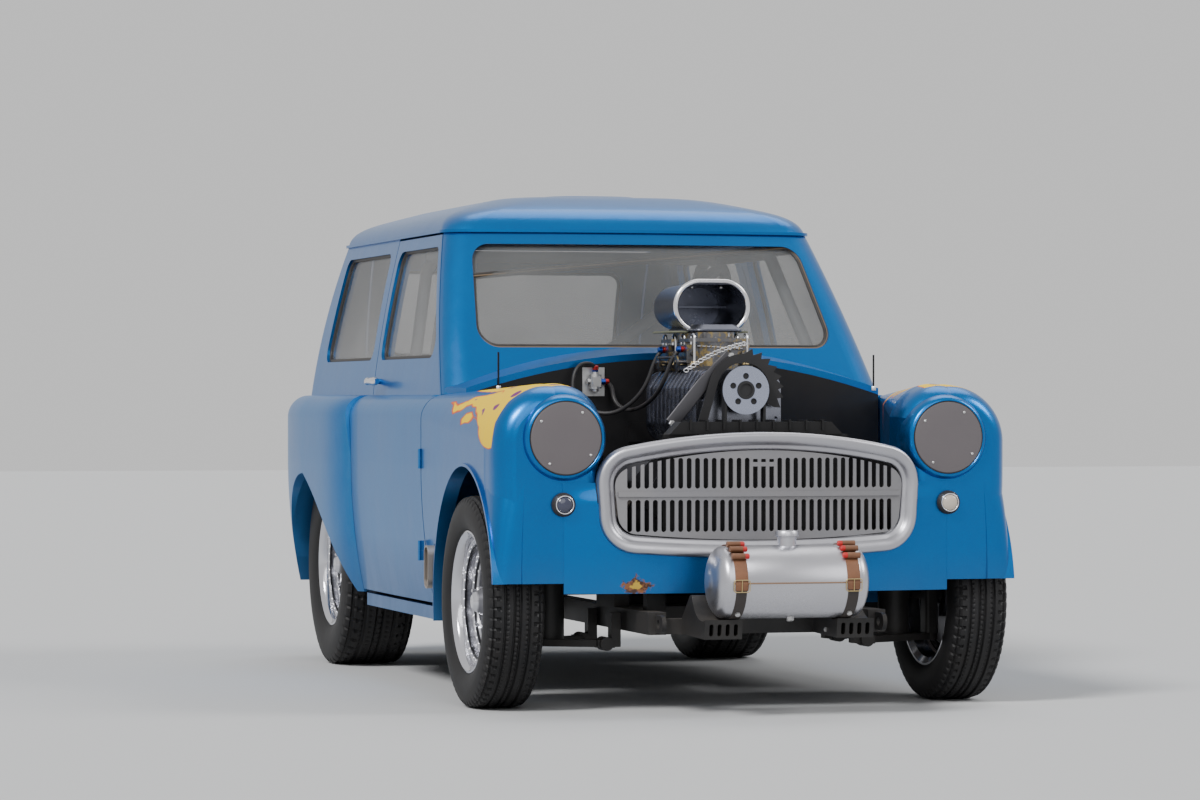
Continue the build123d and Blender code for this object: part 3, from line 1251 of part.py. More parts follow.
# Front suspension: arms and coil units, held by the frame
KNUCKLE_LOW_Z = 200
KNUCKLE_HIGH_Z = 440
ARM_THICKNESS = 20
COIL_X = 535
with BuildPart() as front_suspension:
    for side in (-1, 1):
        for low_z, inner_x, spread in ((KNUCKLE_LOW_Z - SEAT_GAP - ARM_THICKNESS, RAIL_X + 70, 150),
                                       (KNUCKLE_HIGH_Z + SEAT_GAP, RAIL_X + 60, 90)):
            with BuildSketch(Plane.XY.offset(low_z)):
                Polygon((side * inner_x, FRONT_AXLE_Y - spread), (side * KINGPIN_X, FRONT_AXLE_Y - 20),
                        (side * KINGPIN_X, FRONT_AXLE_Y + 20), (side * inner_x, FRONT_AXLE_Y + spread),
                        align=None)
                Polygon((side * inner_x, FRONT_AXLE_Y - spread + 50),
                        (side * (KINGPIN_X - 70), FRONT_AXLE_Y), (side * inner_x, FRONT_AXLE_Y + spread - 50),
                        align=None, mode=Mode.SUBTRACT)
                with Locations((side * KINGPIN_X, FRONT_AXLE_Y)):
                    Circle(24)
            extrude(amount=ARM_THICKNESS)
            for end in (-1, 1):
                with Locations((side * inner_x, FRONT_AXLE_Y + end * (spread - 20), low_z + ARM_THICKNESS / 2)):
                    Cylinder(20, 60, rotation=(90, 0, 0))
                    Box(RAIL_WIDTH, 40, 24)
        rail_side = RAIL_X + RAIL_WIDTH / 2 + SEAT_GAP
        for end in (-1, 1):
            with Locations((side * (rail_side + 14), FRONT_AXLE_Y + end * 130, 230)):
                Box(28, 40, 100)
        with Locations((side * (RAIL_X + 10), FRONT_AXLE_Y, RAIL_Z + RAIL_HEIGHT / 2 + SEAT_GAP)):
            Box(44, 200, 170, align=(Align.CENTER, Align.CENTER, Align.MIN))
        with Locations((side * COIL_X, FRONT_AXLE_Y, KNUCKLE_LOW_Z - 1)):
            Cylinder(46, KNUCKLE_HIGH_Z - KNUCKLE_LOW_Z + 2, align=(Align.CENTER, Align.CENTER, Align.MIN))
hand_in(front_suspension.part, "front_suspension")

# Knuckles: upright, spindle and steering arm
with BuildPart() as knuckle:
    with BuildSketch(Plane.XY.offset(KNUCKLE_LOW_Z)):
        with Locations((KINGPIN_X, FRONT_AXLE_Y)):
            RectangleRounded(40, 60, 10)
    extrude(amount=KNUCKLE_HIGH_Z - KNUCKLE_LOW_Z)
    with BuildSketch(beside(KINGPIN_X)):
        with Locations((FRONT_AXLE_Y, FRONT_TYRE_RADIUS)):
            Circle(SPINDLE_RADIUS)
    extrude(amount=SPINDLE_END - KINGPIN_X)
    with BuildSketch(Plane.XY.offset(RACK_Z - 31)):
        with Locations((KINGPIN_X, FRONT_AXLE_Y + STEER_ARM / 2)):
            Rectangle(28, STEER_ARM)
        with Locations((KINGPIN_X, RACK_Y)):
            Circle(18)
    extrude(amount=18)
both_sides(knuckle.part, "knuckle")

# Steering rack with its two tie rods, in one line across the car
with BuildPart() as steering_rack:
    with BuildSketch(beside(-KINGPIN_X)):
        with Locations((RACK_Y, RACK_Z)):
            Circle(RACK_RADIUS)
    extrude(amount=2 * KINGPIN_X)
    for side in (-1, 1):
        with Locations((side * KINGPIN_X, RACK_Y, RACK_Z - 12)):
            Cylinder(17, 24, align=(Align.CENTER, Align.CENTER, Align.MIN))
hand_in(steering_rack.part, "steering_rack")


# Wheels
def rim(half_track, axle_y, wheel_z, half_width, offset_in):
    """Dished rim with a conical centre and a bored hub, on the car's left."""
    inner = half_track - half_width
    outer = half_track + half_width
    face = outer - DISH_DEPTH
    with BuildPart() as wheel:
        with BuildSketch(Plane((0, axle_y, wheel_z))):
            Polygon((inner, RIM_RADIUS + 18), (inner + 10, RIM_RADIUS), (outer - 10, RIM_RADIUS),
                    (outer, RIM_RADIUS + 18), (outer, RIM_RADIUS + 12), (outer - 12, RIM_RADIUS - 7),
                    (inner + 12, RIM_RADIUS - 7), (inner, RIM_RADIUS + 12), align=None)
            Polygon((face + 26, RIM_RADIUS - 5), (face, 80), (face, 0), (face - 12, 0), (face - 12, 80),
                    (face + 12, RIM_RADIUS - 5), align=None)
            Polygon((face, 0), (face, 62), (face + 12, 60), (face + 50, 30), (face + 58, 0), align=None)
            Polygon((face - 12, SPINDLE_RADIUS + RUNNING_GAP), (face - 12, 62), (offset_in, 62),
                    (offset_in, SPINDLE_RADIUS + RUNNING_GAP), align=None)
        revolve(axis=Axis((0, axle_y, wheel_z), (1, 0, 0)))
    return wheel.part


def tyre(half_track, axle_y, radius, width, half_rim):
    """Tyre with round shoulders and bulged sidewalls, on the car's left."""
    bead = half_rim - 10.5
    bulge = width / 2
    seat = RIM_RADIUS + SEAT_GAP
    belt = radius - 12
    with BuildPart() as ring:
        with BuildSketch(Plane((half_track, axle_y, radius))):
            with BuildLine():
                Line((bead, seat), (bead + 9, seat + 19))
                ThreePointArc((bead + 9, seat + 19), (bulge, seat + 0.5 * (belt - seat)), (bulge - 10, belt - 8))
                ThreePointArc((bulge - 10, belt - 8), (bulge - 16, radius - 6), (bulge - 28, radius - 3))
                ThreePointArc((bulge - 28, radius - 3), (0, radius), (28 - bulge, radius - 3))
                ThreePointArc((28 - bulge, radius - 3), (16 - bulge, radius - 6), (10 - bulge, belt - 8))
                ThreePointArc((10 - bulge, belt - 8), (-bulge, seat + 0.5 * (belt - seat)), (-bead - 9, seat + 19))
                Polyline((-bead - 9, seat + 19), (-bead, seat), (bead, seat))
            make_face()
        revolve(axis=Axis((half_track, axle_y, radius), (1, 0, 0)))
    return ring.part


# Columns: name, track, axle place, tyre radius, tyre width, rim half width, hub's inner face
WHEELS = (
    ("front", FRONT_TRACK, FRONT_AXLE_Y, FRONT_TYRE_RADIUS, FRONT_TYRE_WIDTH, FRONT_RIM_HALF, KINGPIN_X + 28),
    ("rear", REAR_TRACK, REAR_AXLE_Y, REAR_TYRE_RADIUS, REAR_TYRE_WIDTH, REAR_RIM_HALF, REAR_TRACK / 2 - 60),
)
for name, track, axle_y, radius, width, half_rim, hub_x in WHEELS:
    both_sides(rim(track / 2, axle_y, radius, half_rim, hub_x), f"rim_{name}")
    both_sides(tyre(track / 2, axle_y, radius, width, half_rim), f"tyre_{name}")

# Rear suspension: axle, differential, propeller shaft and leaf springs
REAR_HUB_X = REAR_TRACK / 2 - 60
AXLE_RADIUS = 38
SPRING_X = 400
with BuildPart() as rear_suspension:
    with BuildSketch(beside(-REAR_HUB_X + 5)):
        with Locations((REAR_AXLE_Y, REAR_TYRE_RADIUS)):
            Circle(AXLE_RADIUS)
    extrude(amount=2 * (REAR_HUB_X - 5))
    with BuildSketch(beside(-REAR_HUB_X - 50)):
        with Locations((REAR_AXLE_Y, REAR_TYRE_RADIUS)):
            Circle(SPINDLE_RADIUS)
    extrude(amount=2 * (REAR_HUB_X + 50))
    with Locations((0, REAR_AXLE_Y, REAR_TYRE_RADIUS)):
        Sphere(125)
    with BuildSketch(across(REAR_AXLE_Y)):
        with Locations((0, REAR_TYRE_RADIUS)):
            Circle(32)
    extrude(amount=REAR_AXLE_Y - FRONT_AXLE_Y - 950 - SEAT_GAP)
    for side in (-1, 1):
        with BuildSketch(beside(side * SPRING_X - 28)):
            with BuildLine():
                ThreePointArc((KICK_Y + 30, 385), (REAR_AXLE_Y, 285), (TAIL_Y - 170, 395))
                Line((TAIL_Y - 170, 395), (TAIL_Y - 170, 425))
                ThreePointArc((TAIL_Y - 170, 425), (REAR_AXLE_Y, 318), (KICK_Y + 30, 415))
                Line((KICK_Y + 30, 415), (KICK_Y + 30, 385))
            make_face()
        extrude(amount=56)
        for y in (KICK_Y + 40, TAIL_Y - 180):
            with Locations((side * SPRING_X, y, 400)):
                Box(56, 20, DECK_Z - PAN - 400 - SEAT_GAP, align=(Align.CENTER, Align.CENTER, Align.MIN))
hand_in(rear_suspension.part, "rear_suspension")

# Seats
SEAT_X = 375
SEAT_WIDTH = 400
with BuildPart() as seats:
    for side in (-1, 1):
        with Locations((side * SEAT_X, FRONT_AXLE_Y + 1290, FLOOR_Z + PAN + SEAT_GAP)):
            Box(SEAT_WIDTH, 440, 170, align=(Align.CENTER, Align.CENTER, Align.MIN))
        with BuildSketch(beside(side * SEAT_X - SEAT_WIDTH / 2)):
            Polygon((FRONT_AXLE_Y + 1440, 430), (FRONT_AXLE_Y + 1510, 430), (FRONT_AXLE_Y + 1600, 1000),
                    (FRONT_AXLE_Y + 1540, 1000), align=None)
        extrude(amount=SEAT_WIDTH)
hand_in(seats.part, "seats")


# Roll cage: main hoop, front legs, rear stays and diagonal
HOOP_Y = FRONT_AXLE_Y + 1660
HOOP_Z = 1375
CAGE_RADIUS = 20
FLOOR_TOP = FLOOR_Z + PAN + SEAT_GAP
with BuildPart() as roll_cage:
    add(tube([(-560, HOOP_Y, FLOOR_TOP), (-560, HOOP_Y, 1000), (-510, HOOP_Y, HOOP_Z),
              (510, HOOP_Y, HOOP_Z), (560, HOOP_Y, 1000), (560, HOOP_Y, FLOOR_TOP)], 70, CAGE_RADIUS))
    add(tube([(-540, HOOP_Y, 600), (500, HOOP_Y, HOOP_Z - 30)], 0, CAGE_RADIUS))
    for side in (-1, 1):
        add(tube([(side * 500, HOOP_Y, HOOP_Z), (side * 500, FRONT_AXLE_Y + 1120, HOOP_Z),
                  (side * 575, FRONT_AXLE_Y + 800, 960), (side * 580, FRONT_AXLE_Y + 740, FLOOR_TOP - 40)],
                 60, CAGE_RADIUS))
        add(tube([(side * 440, HOOP_Y, HOOP_Z - 20), (side * 380, TAIL_Y - 260, DECK_Z - 20)], 0, CAGE_RADIUS))
    with Locations((0, HOOP_Y - 500, FLOOR_TOP)):
        Box(1400, 1200, 200, align=(Align.CENTER, Align.CENTER, Align.MAX), mode=Mode.SUBTRACT)
    with Locations((0, TAIL_Y - 300, DECK_Z + SEAT_GAP)):
        Box(1400, 400, 200, align=(Align.CENTER, Align.CENTER, Align.MAX), mode=Mode.SUBTRACT)
hand_in(roll_cage.part, "roll_cage")

# Dashboard with the steering column, and the steering wheel on its own axis
WHEEL_CENTRE = (-340, FRONT_AXLE_Y + 1020, 905)
COLUMN_LEAN = 62
wheel_plane = Plane(origin=WHEEL_CENTRE, x_dir=(1, 0, 0),
                    z_dir=(0, sin(radians(COLUMN_LEAN)), cos(radians(COLUMN_LEAN))))
with BuildPart() as dashboard:
    with Locations((0, DOOR_FRONT_Y + 150 + SEAT_GAP, 880)):
        Box(1060, 70, 130, align=(Align.CENTER, Align.MIN, Align.CENTER))
    add(tube([wheel_plane.from_local_coords((0, 0, -40)), wheel_plane.from_local_coords((0, 0, -300))], 0, 18))
    with Locations((WHEEL_CENTRE[0], DOOR_FRONT_Y + 190, 805)):
        Box(60, 50, 50)
hand_in(dashboard.part, "dashboard")

with BuildPart() as steering_wheel:
    with BuildSketch(wheel_plane.offset(-6)):
        Circle(160)
        Circle(146, mode=Mode.SUBTRACT)
        Rectangle(300, 26)
        with Locations((0, -75)):
            Rectangle(26, 150)
        Circle(34)
    extrude(amount=16)
    with BuildSketch(wheel_plane.offset(-40 + SEAT_GAP)):
        Circle(18)
    extrude(amount=36)
hand_in(steering_wheel.part, "steering_wheel")

# Tail lamps
with BuildPart() as tail_lamps:
    for side in (-1, 1):
        with BuildSketch(across(TAIL_Y - 120)):
            with Locations((side * 610, 640)):
                Circle(36)
        extrude(amount=-112)
    add(outer_cabin, mode=Mode.SUBTRACT)
hand_in(tail_lamps.part, "tail_lamps")
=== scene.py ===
# %% [markdown]
# A small estate car of the 1950s, turned into a drag racer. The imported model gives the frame: every panel,
# wheel and engine part is already at its place, in metres, +Z up and the nose towards -Y. This lesson adds
# the looks: paint with flames, polished wheels with rivets, treaded tyres, the spun tank with its straps,
# hoses, seats and small fittings. Each new surface is worked out as an array of points, then made a mesh.

# %% Load the frame
import json
from math import pi, radians

import bmesh
import bpy
import numpy as np
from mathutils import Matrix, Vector


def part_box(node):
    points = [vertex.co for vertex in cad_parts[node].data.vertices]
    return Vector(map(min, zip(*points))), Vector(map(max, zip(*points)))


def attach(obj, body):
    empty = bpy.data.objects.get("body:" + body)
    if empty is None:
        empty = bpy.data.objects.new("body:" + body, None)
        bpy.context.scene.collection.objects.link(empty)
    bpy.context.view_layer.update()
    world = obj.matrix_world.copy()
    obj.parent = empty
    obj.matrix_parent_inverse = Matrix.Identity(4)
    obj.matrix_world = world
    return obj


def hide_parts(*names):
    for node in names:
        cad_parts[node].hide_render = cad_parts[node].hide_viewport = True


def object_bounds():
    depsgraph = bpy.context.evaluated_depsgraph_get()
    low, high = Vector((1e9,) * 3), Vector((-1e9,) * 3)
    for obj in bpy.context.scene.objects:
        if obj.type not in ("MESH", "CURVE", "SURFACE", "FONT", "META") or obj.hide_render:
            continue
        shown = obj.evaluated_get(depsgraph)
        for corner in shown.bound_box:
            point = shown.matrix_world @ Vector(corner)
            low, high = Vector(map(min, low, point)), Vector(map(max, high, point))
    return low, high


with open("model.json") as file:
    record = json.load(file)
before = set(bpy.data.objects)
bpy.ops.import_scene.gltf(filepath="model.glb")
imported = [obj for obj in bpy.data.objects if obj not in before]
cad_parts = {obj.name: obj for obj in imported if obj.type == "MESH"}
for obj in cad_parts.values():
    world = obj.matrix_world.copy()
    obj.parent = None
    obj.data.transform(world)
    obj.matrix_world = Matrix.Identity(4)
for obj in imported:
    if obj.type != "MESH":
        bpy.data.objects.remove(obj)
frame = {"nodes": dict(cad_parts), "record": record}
start_low, start_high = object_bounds()
SIDES = ((1, "left"), (-1, "right"))
print("car", [round(float(high - low), 3) for low, high in zip(start_low, start_high)])

# %% [markdown]
# A surface here is a grid: rows of points, each row as long as the next. A tyre is a grid that closes on
# itself both ways, a disc is one whose first row is a single place. The class below gathers such grids into
# one mesh, so that forty rivets or a whole wheel stay one object. Faces are turned outwards at the end, and
# only edges sharper than a set angle stay hard.

# %% Meshes from grids of points


def placed(name, data):
    """An object made from its data and put into the scene."""
    made = bpy.data.objects.new(name, data)
    bpy.context.scene.collection.objects.link(made)
    return made


class Piece:
    """Surfaces gathered into one mesh, each a whole array of points with the faces between them."""

    def __init__(self, name):
        self.name = name
        self.points = []
        self.faces = []
        self.looks = []
        self.count = 0

    def grid(self, points, wrap_rows=False, wrap_columns=False, caps=False, look=0):
        """Adds a grid of shape (rows, columns, 3). Each face joins two neighbours in a row and the next."""
        rows, columns = points.shape[:2]
        index = np.arange(rows * columns).reshape(rows, columns)
        if wrap_rows:
            index = np.vstack([index, index[:1]])
        if wrap_columns:
            index = np.hstack([index, index[:, :1]])
        corners = [index[:-1, :-1], index[:-1, 1:], index[1:, 1:], index[1:, :-1]]
        faces = np.stack([corner.ravel() for corner in corners], axis=1).tolist()
        self.points.append(points.reshape(-1, 3))
        self.faces.extend([[n + self.count for n in face] for face in faces])
        self.looks.extend([look] * len(faces))
        if caps:
            for row in (index[0], index[-1]):
                ring = row[:-1] if wrap_columns else row
                self.faces.append([int(n) + self.count for n in ring])
                self.looks.append(look)
        self.count += rows * columns

    def spin(self, profile, centre, axis, steps=48, look=0, hollow=False):
        """Adds a surface of revolution. hollow closes the profile on itself, which leaves a ring."""
        self.grid(turned(profile, centre, axis, steps), wrap_rows=True, wrap_columns=hollow, look=look)

    def bar(self, outline, path, up, look=0):
        """Adds an outline swept along an open path, with both ends closed."""
        self.grid(swept(outline, path, up), wrap_columns=True, caps=True, look=look)

    def hoop(self, outline, path, up, look=0):
        """Adds an outline swept along a path that closes on itself."""
        self.grid(swept(outline, path, up, closed=True), wrap_rows=True, wrap_columns=True, look=look)

    def finish(self, materials, body, replaced=(), angle=32):
        """Makes the object: doubles merged, faces outwards, hard edges by angle, riding on its body."""
        mesh = bpy.data.meshes.new(self.name)
        mesh.from_pydata(np.vstack(self.points).tolist(), [], self.faces)
        for material in materials:
            mesh.materials.append(material)
        mesh.polygons.foreach_set("material_index", self.looks)
        work = bmesh.new()
        work.from_mesh(mesh)
        bmesh.ops.remove_doubles(work, verts=work.verts, dist=1e-6)
        bmesh.ops.dissolve_degenerate(work, edges=work.edges, dist=1e-7)
        bmesh.ops.recalc_face_normals(work, faces=work.faces)
        work.to_mesh(mesh)
        work.free()
        mesh.polygons.foreach_set("use_smooth", [True] * len(mesh.polygons))
        mesh.set_sharp_from_angle(angle=radians(angle))
        made = placed(self.name, mesh)
        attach(made, body)
        if replaced:
            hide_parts(*replaced)
        mesh.calc_loop_triangles()
        print(self.name, len(mesh.loop_triangles), "triangles")
        return made


def unit(vector):
    """The vector, or each row of vectors, at length one."""
    vector = np.asarray(vector, float)
    return vector / np.linalg.norm(vector, axis=-1, keepdims=True)


def frame_of(axis):
    """Two directions square to an axis and to each other."""
    axis = unit(axis)
    helper = np.array([0.0, 0.0, 1.0]) if abs(axis[2]) < 0.9 else np.array([1.0, 0.0, 0.0])
    first = unit(np.cross(helper, axis))
    return first, np.cross(axis, first)


def turned(profile, centre, axis, steps=48):
    """Surface of revolution: each (along, radius) point of the profile goes round the axis in equal steps."""
    profile = np.asarray(profile, float)
    first, second = frame_of(axis)
    angle = np.linspace(0, 2 * pi, steps, endpoint=False)
    around = np.cos(angle)[:, None] * first + np.sin(angle)[:, None] * second
    along = profile[:, 0][None, :, None] * unit(axis)
    return np.asarray(centre) + along + profile[:, 1][None, :, None] * around[:, None, :]


def swept(outline, path, up, closed=False):
    """An outline of (side, up) points carried along a path, square to it, with one direction held upright."""
    path = np.asarray(path, float)
    if closed:
        heading = np.roll(path, -1, axis=0) - np.roll(path, 1, axis=0)
    else:
        heading = np.gradient(path, axis=0)
    side = unit(np.cross(heading, up))
    lift = unit(np.cross(side, heading))
    outline = np.asarray(outline, float)
    across = outline[:, 0][None, :, None] * side[:, None, :]
    return path[:, None, :] + across + outline[:, 1][None, :, None] * lift[:, None, :]


def ring_outline(radius, steps=12):
    """Points round a circle, for the section of a tube."""
    angle = np.linspace(0, 2 * pi, steps, endpoint=False)
    return np.stack([radius * np.cos(angle), radius * np.sin(angle)], axis=1)


def rounded_rectangle(width, height, radius, steps=4):
    """Points round a rectangle with quarter-round corners."""
    corners = []
    for turn, (x, y) in enumerate(((1, 1), (-1, 1), (-1, -1), (1, -1))):
        angle = np.linspace(0, pi / 2, steps) + turn * pi / 2
        centre = np.array([x * (width / 2 - radius), y * (height / 2 - radius)])
        corners.append(centre + radius * np.stack([np.cos(angle), np.sin(angle)], axis=1))
    return np.vstack(corners)


def add_domes(piece, centres, axis, radius, height, steps=10, look=0):
    """A low round head at each centre: rivets, screws and bolt caps."""
    rise = np.linspace(0, pi / 2, 5)
    profile = np.stack([height * np.sin(rise), radius * np.cos(rise)], axis=1)
    profile = np.vstack([[-0.5 * height, 0], [-0.5 * height, radius], profile])
    for centre in np.asarray(centres, float).reshape(-1, 3):
        piece.spin(profile, centre, axis, steps, look=look)


def add_nuts(piece, centres, axis, radius, height, look=0):
    """A six-sided nut with a chamfered crown at each centre."""
    profile = [(-0.1 * height, 0), (-0.1 * height, radius), (0.8 * height, radius)]
    profile += [(height, 0.82 * radius), (height, 0)]
    for centre in np.asarray(centres, float).reshape(-1, 3):
        piece.spin(profile, centre, axis, 6, look=look)


def on_circle(centre, axis, radius, count, start=0.0):
    """Equally spaced places round an axis."""
    first, second = frame_of(axis)
    angle = start + np.linspace(0, 2 * pi, count, endpoint=False)
    return np.asarray(centre) + radius * (np.cos(angle)[:, None] * first + np.sin(angle)[:, None] * second)


# %% [markdown]
# Materials are worked out by nodes, with nothing flat: a metal has fine scratches and a film of dust, a
# paint has flakes and dirt that settles on what faces up. A material here is written as arithmetic on
# fields. A field is a number that the renderer works out at each point of the surface, so a + b makes an
# Add node.

# %% Fields and the material builder


def feed(tree, socket, value):
    """Gives a socket its field, or its plain value."""
    if isinstance(value, Field):
        tree.links.new(value.socket, socket)
    else:
        socket.default_value = value


class Field:
    """One output of a node tree that takes part in arithmetic. Each sum or product makes its own node."""

    def __init__(self, tree, socket):
        self.tree = tree
        self.socket = socket

    def math(self, operation, *others, clamp=False):
        """A Math node whose inputs are this field and the others."""
        node = self.tree.nodes.new("ShaderNodeMath")
        node.operation = operation
        node.use_clamp = clamp
        for slot, value in enumerate((self, *others)):
            feed(self.tree, node.inputs[slot], value)
        return Field(self.tree, node.outputs[0])

    def __add__(self, other):
        return self.math("ADD", other)

    def __sub__(self, other):
        return self.math("SUBTRACT", other)

    def __mul__(self, other):
        return self.math("MULTIPLY", other)

    def __truediv__(self, other):
        return self.math("DIVIDE", other)

    def above(self, edge, soft):
        """0 below the edge, 1 above it, with a soft step between."""
        return ((self - edge) / soft + 0.5).math("ADD", 0.0, clamp=True)

    def below(self, edge, soft):
        """1 below the edge, 0 above it."""
        return self.above(edge, soft) * -1.0 + 1.0


class Look:
    """A material with one Principled shader, and the fields that drive it."""

    def __init__(self, name):
        self.material = bpy.data.materials.new(name)
        self.material.use_nodes = True
        self.tree = self.material.node_tree
        self.shader = self.tree.nodes["Principled BSDF"]
        self.place = self.made("TexCoord", "Object")
        self.x, self.y, self.z = [self.made("SeparateXYZ", axis, Vector=self.place) for axis in "XYZ"]

    def made(self, kind, out, **values):
        """The named output of a new node, whose sockets are set. Underscores in a name stand for spaces."""
        node = self.tree.nodes.new("ShaderNode" + kind)
        for name, value in values.items():
            feed(self.tree, node.inputs[name.replace("_", " ")], value)
        return Field(self.tree, node.outputs[out])

    def noise(self, scale, detail=3.0, rough=0.55, stretch=None):
        """Cloudy noise from 0 to 1. stretch squeezes its coordinates, which draws it out into streaks."""
        source = self.made("Mapping", "Vector", Vector=self.place, Scale=stretch) if stretch else self.place
        return self.made("TexNoise", "Fac", Vector=source, Scale=scale, Detail=detail, Roughness=rough)

    def cells(self, scale):
        """Distance to the nearest of many scattered points: flakes, pits and grains."""
        return self.made("TexVoronoi", "Distance", Vector=self.place, Scale=scale)

    def upward(self):
        """How far the surface faces up, from -1 to 1."""
        return self.made("SeparateXYZ", "Z", Vector=self.made("NewGeometry", "Normal"))

    def blend(self, share, low, high):
        """A colour from low to high by a field."""
        node = self.tree.nodes.new("ShaderNodeMix")
        node.data_type = "RGBA"
        feed(self.tree, node.inputs["Factor"], share)
        for slot, value in ((6, low), (7, high)):
            feed(self.tree, node.inputs[slot], value if isinstance(value, Field) else (*value, 1.0))
        return Field(self.tree, node.outputs[2])

    def set(self, **values):
        """Sets the shader's sockets. Underscores in a name stand for spaces."""
        for name, value in values.items():
            feed(self.tree, self.shader.inputs[name.replace("_", " ")], value)
        return self

    def bump(self, height, strength, distance=0.001):
        """Fine relief from a field, without more points."""
        relief = self.made("Bump", "Normal", Strength=strength, Distance=distance, Height=height)
        return self.set(Normal=relief)


# %% [markdown]
# Most of the car is bare metal, paint, rubber, leather or glass. Each family is one function with a few
# numbers, so that a tank and a pulley differ only in colour, in grain and in how much dust lies on them.

# %% Families of material


def metal(name, colour, rough, grain=90.0, dust=0.25, stretch=None, dust_colour=(0.34, 0.31, 0.28)):
    """Bare metal: roughness wanders with fine scratches, and dust lies on what faces up."""
    look = Look(name)
    scratches = look.noise(grain, 6.0, 0.7, stretch)
    clouds = look.noise(7.0, 4.0)
    film = (look.upward() * 0.5 + 0.35) * clouds.above(0.42, 0.4) * dust
    tone = look.blend(clouds * 0.35, colour, tuple(0.72 * c for c in colour))
    look.set(Base_Color=look.blend(film, tone, dust_colour), Metallic=film * -1.0 + 1.0)
    look.set(Roughness=scratches * 0.22 + clouds * 0.12 + film * 0.5 + (rough - 0.15))
    return look.bump(scratches, 0.12, 0.0006).material


def painted(name, colour, rough, dust=0.5, coat=0.0, grain=140.0):
    """Painted or plated part: nearly even, with grime in clouds and a slight orange-peel."""
    look = Look(name)
    clouds = look.noise(6.0, 5.0, 0.65)
    film = (look.upward() * 0.45 + 0.25) * clouds.above(0.45, 0.35) * dust
    look.set(Base_Color=look.blend(film, colour, (0.30, 0.26, 0.22)), Roughness=clouds * 0.25 + (rough - 0.1))
    look.set(Coat_Weight=coat, Coat_Roughness=0.08, Specular_IOR_Level=0.3)
    return look.bump(look.noise(grain, 3.0), 0.10, 0.0008).material


def rubber(name, colour, rough, dust=0.5, grain=260.0):
    """Rubber: dull, with a brown bloom and a fine grain."""
    look = Look(name)
    clouds = look.noise(11.0, 6.0, 0.7)
    look.set(Base_Color=look.blend(clouds.above(0.5, 0.5) * dust, colour, (0.16, 0.125, 0.10)))
    look.set(Roughness=clouds * 0.2 + (rough - 0.1), Specular_IOR_Level=0.35)
    return look.bump(look.noise(grain, 4.0), 0.25, 0.0006).material


def leather(name, colour):
    """Worn leather: pores from cells, darker creases, a soft sheen."""
    look = Look(name)
    pores = look.cells(420.0)
    wear = look.noise(14.0, 5.0, 0.65)
    look.set(Base_Color=look.blend(wear.above(0.5, 0.4), colour, tuple(1.7 * c for c in colour)))
    look.set(Roughness=wear * 0.3 + 0.35)
    return look.bump(pores + wear * 0.6, 0.3, 0.0008).material


def glass(name, colour, dust, alpha=0.28):
    """Window glass: clear where clean, with a film of road dust that thickens towards its lower edge."""
    look = Look(name)
    film = look.noise(2.2, 3.0, 0.5).above(0.45, 0.6) * dust
    haze = film + (look.z - 1.02).below(0.05, 0.25) * (0.5 * dust)
    look.set(Base_Color=look.blend(haze, colour, (0.45, 0.44, 0.42)), Roughness=haze * 0.5 + 0.02)
    look.set(Alpha=haze * 0.5 + alpha, IOR=1.45, Coat_Weight=0.6, Coat_Roughness=0.03)
    return look.material


chrome = metal("chrome", (0.82, 0.82, 0.84), 0.17, 60.0, 0.08)
polished = metal("polished_alloy_look", (0.50, 0.50, 0.54), 0.30, 80.0, 0.22)
wheel_metal = metal("wheel_alloy_look", (0.84, 0.84, 0.86), 0.18, 120.0, 0.12)
slat_alloy = metal("grille_alloy_look", (0.27, 0.27, 0.29), 0.40, 130.0, 0.5)
tank_metal = metal("tank_alloy_look", (0.56, 0.56, 0.60), 0.27, 70.0, 0.18, (1.0, 18.0, 18.0))
scoop_metal = metal("scoop_alloy_look", (0.12, 0.13, 0.17), 0.26, 70.0, 0.15)
iron = metal("engine_iron_look", (0.075, 0.075, 0.085), 0.42, 60.0, 0.2)
brass = metal("brass_look", (0.55, 0.42, 0.20), 0.38, 90.0, 0.4)
pipe_steel = metal("exhaust_steel_look", (0.42, 0.37, 0.33), 0.40, 90.0, 0.5)
bolt_steel = metal("bolt_steel", (0.62, 0.62, 0.62), 0.34, 90.0, 0.2)
olive_plate = painted("olive_plate", (0.16, 0.17, 0.11), 0.5, 0.4)
chassis = painted("chassis_black_look", (0.014, 0.014, 0.015), 0.45, 0.25)
underseal = painted("underbody_look", (0.045, 0.045, 0.048), 0.7, 0.6)
bay_black = painted("bay_black_look", (0.006, 0.006, 0.007), 0.36, 0.06)
cage = painted("cage_paint_look", (0.30, 0.32, 0.34), 0.4, 0.2)
dash = painted("dash_black_look", (0.016, 0.016, 0.018), 0.45, 0.15)
blank_cover = painted("lamp_cover_look", (0.125, 0.112, 0.118), 0.42, 0.15)
seal_rubber = rubber("seal_rubber", (0.012, 0.012, 0.013), 0.5, 0.25)
tyre_rubber = rubber("tyre_rubber_look", (0.006, 0.0065, 0.008), 0.60, 0.06)
hose_rubber = rubber("braided_hose_look", (0.02, 0.02, 0.022), 0.45, 0.1, 900.0)
brown_leather = leather("strap_leather_look", (0.13, 0.055, 0.025))
dark_leather = leather("dark_leather", (0.022, 0.017, 0.015))
black_vinyl = leather("seat_vinyl_look", (0.028, 0.028, 0.03))
clear_glass = glass("window_glass_look", (0.10, 0.105, 0.11), 0.32)
red_anodised = metal("red_anodised", (0.55, 0.03, 0.03), 0.28, 80.0, 0.1)
blue_anodised = metal("blue_anodised", (0.02, 0.09, 0.45), 0.28, 80.0, 0.1)
red_lens = painted("red_lens_look", (0.42, 0.012, 0.015), 0.2, 0.15, 0.8)
print("materials", len(bpy.data.materials))

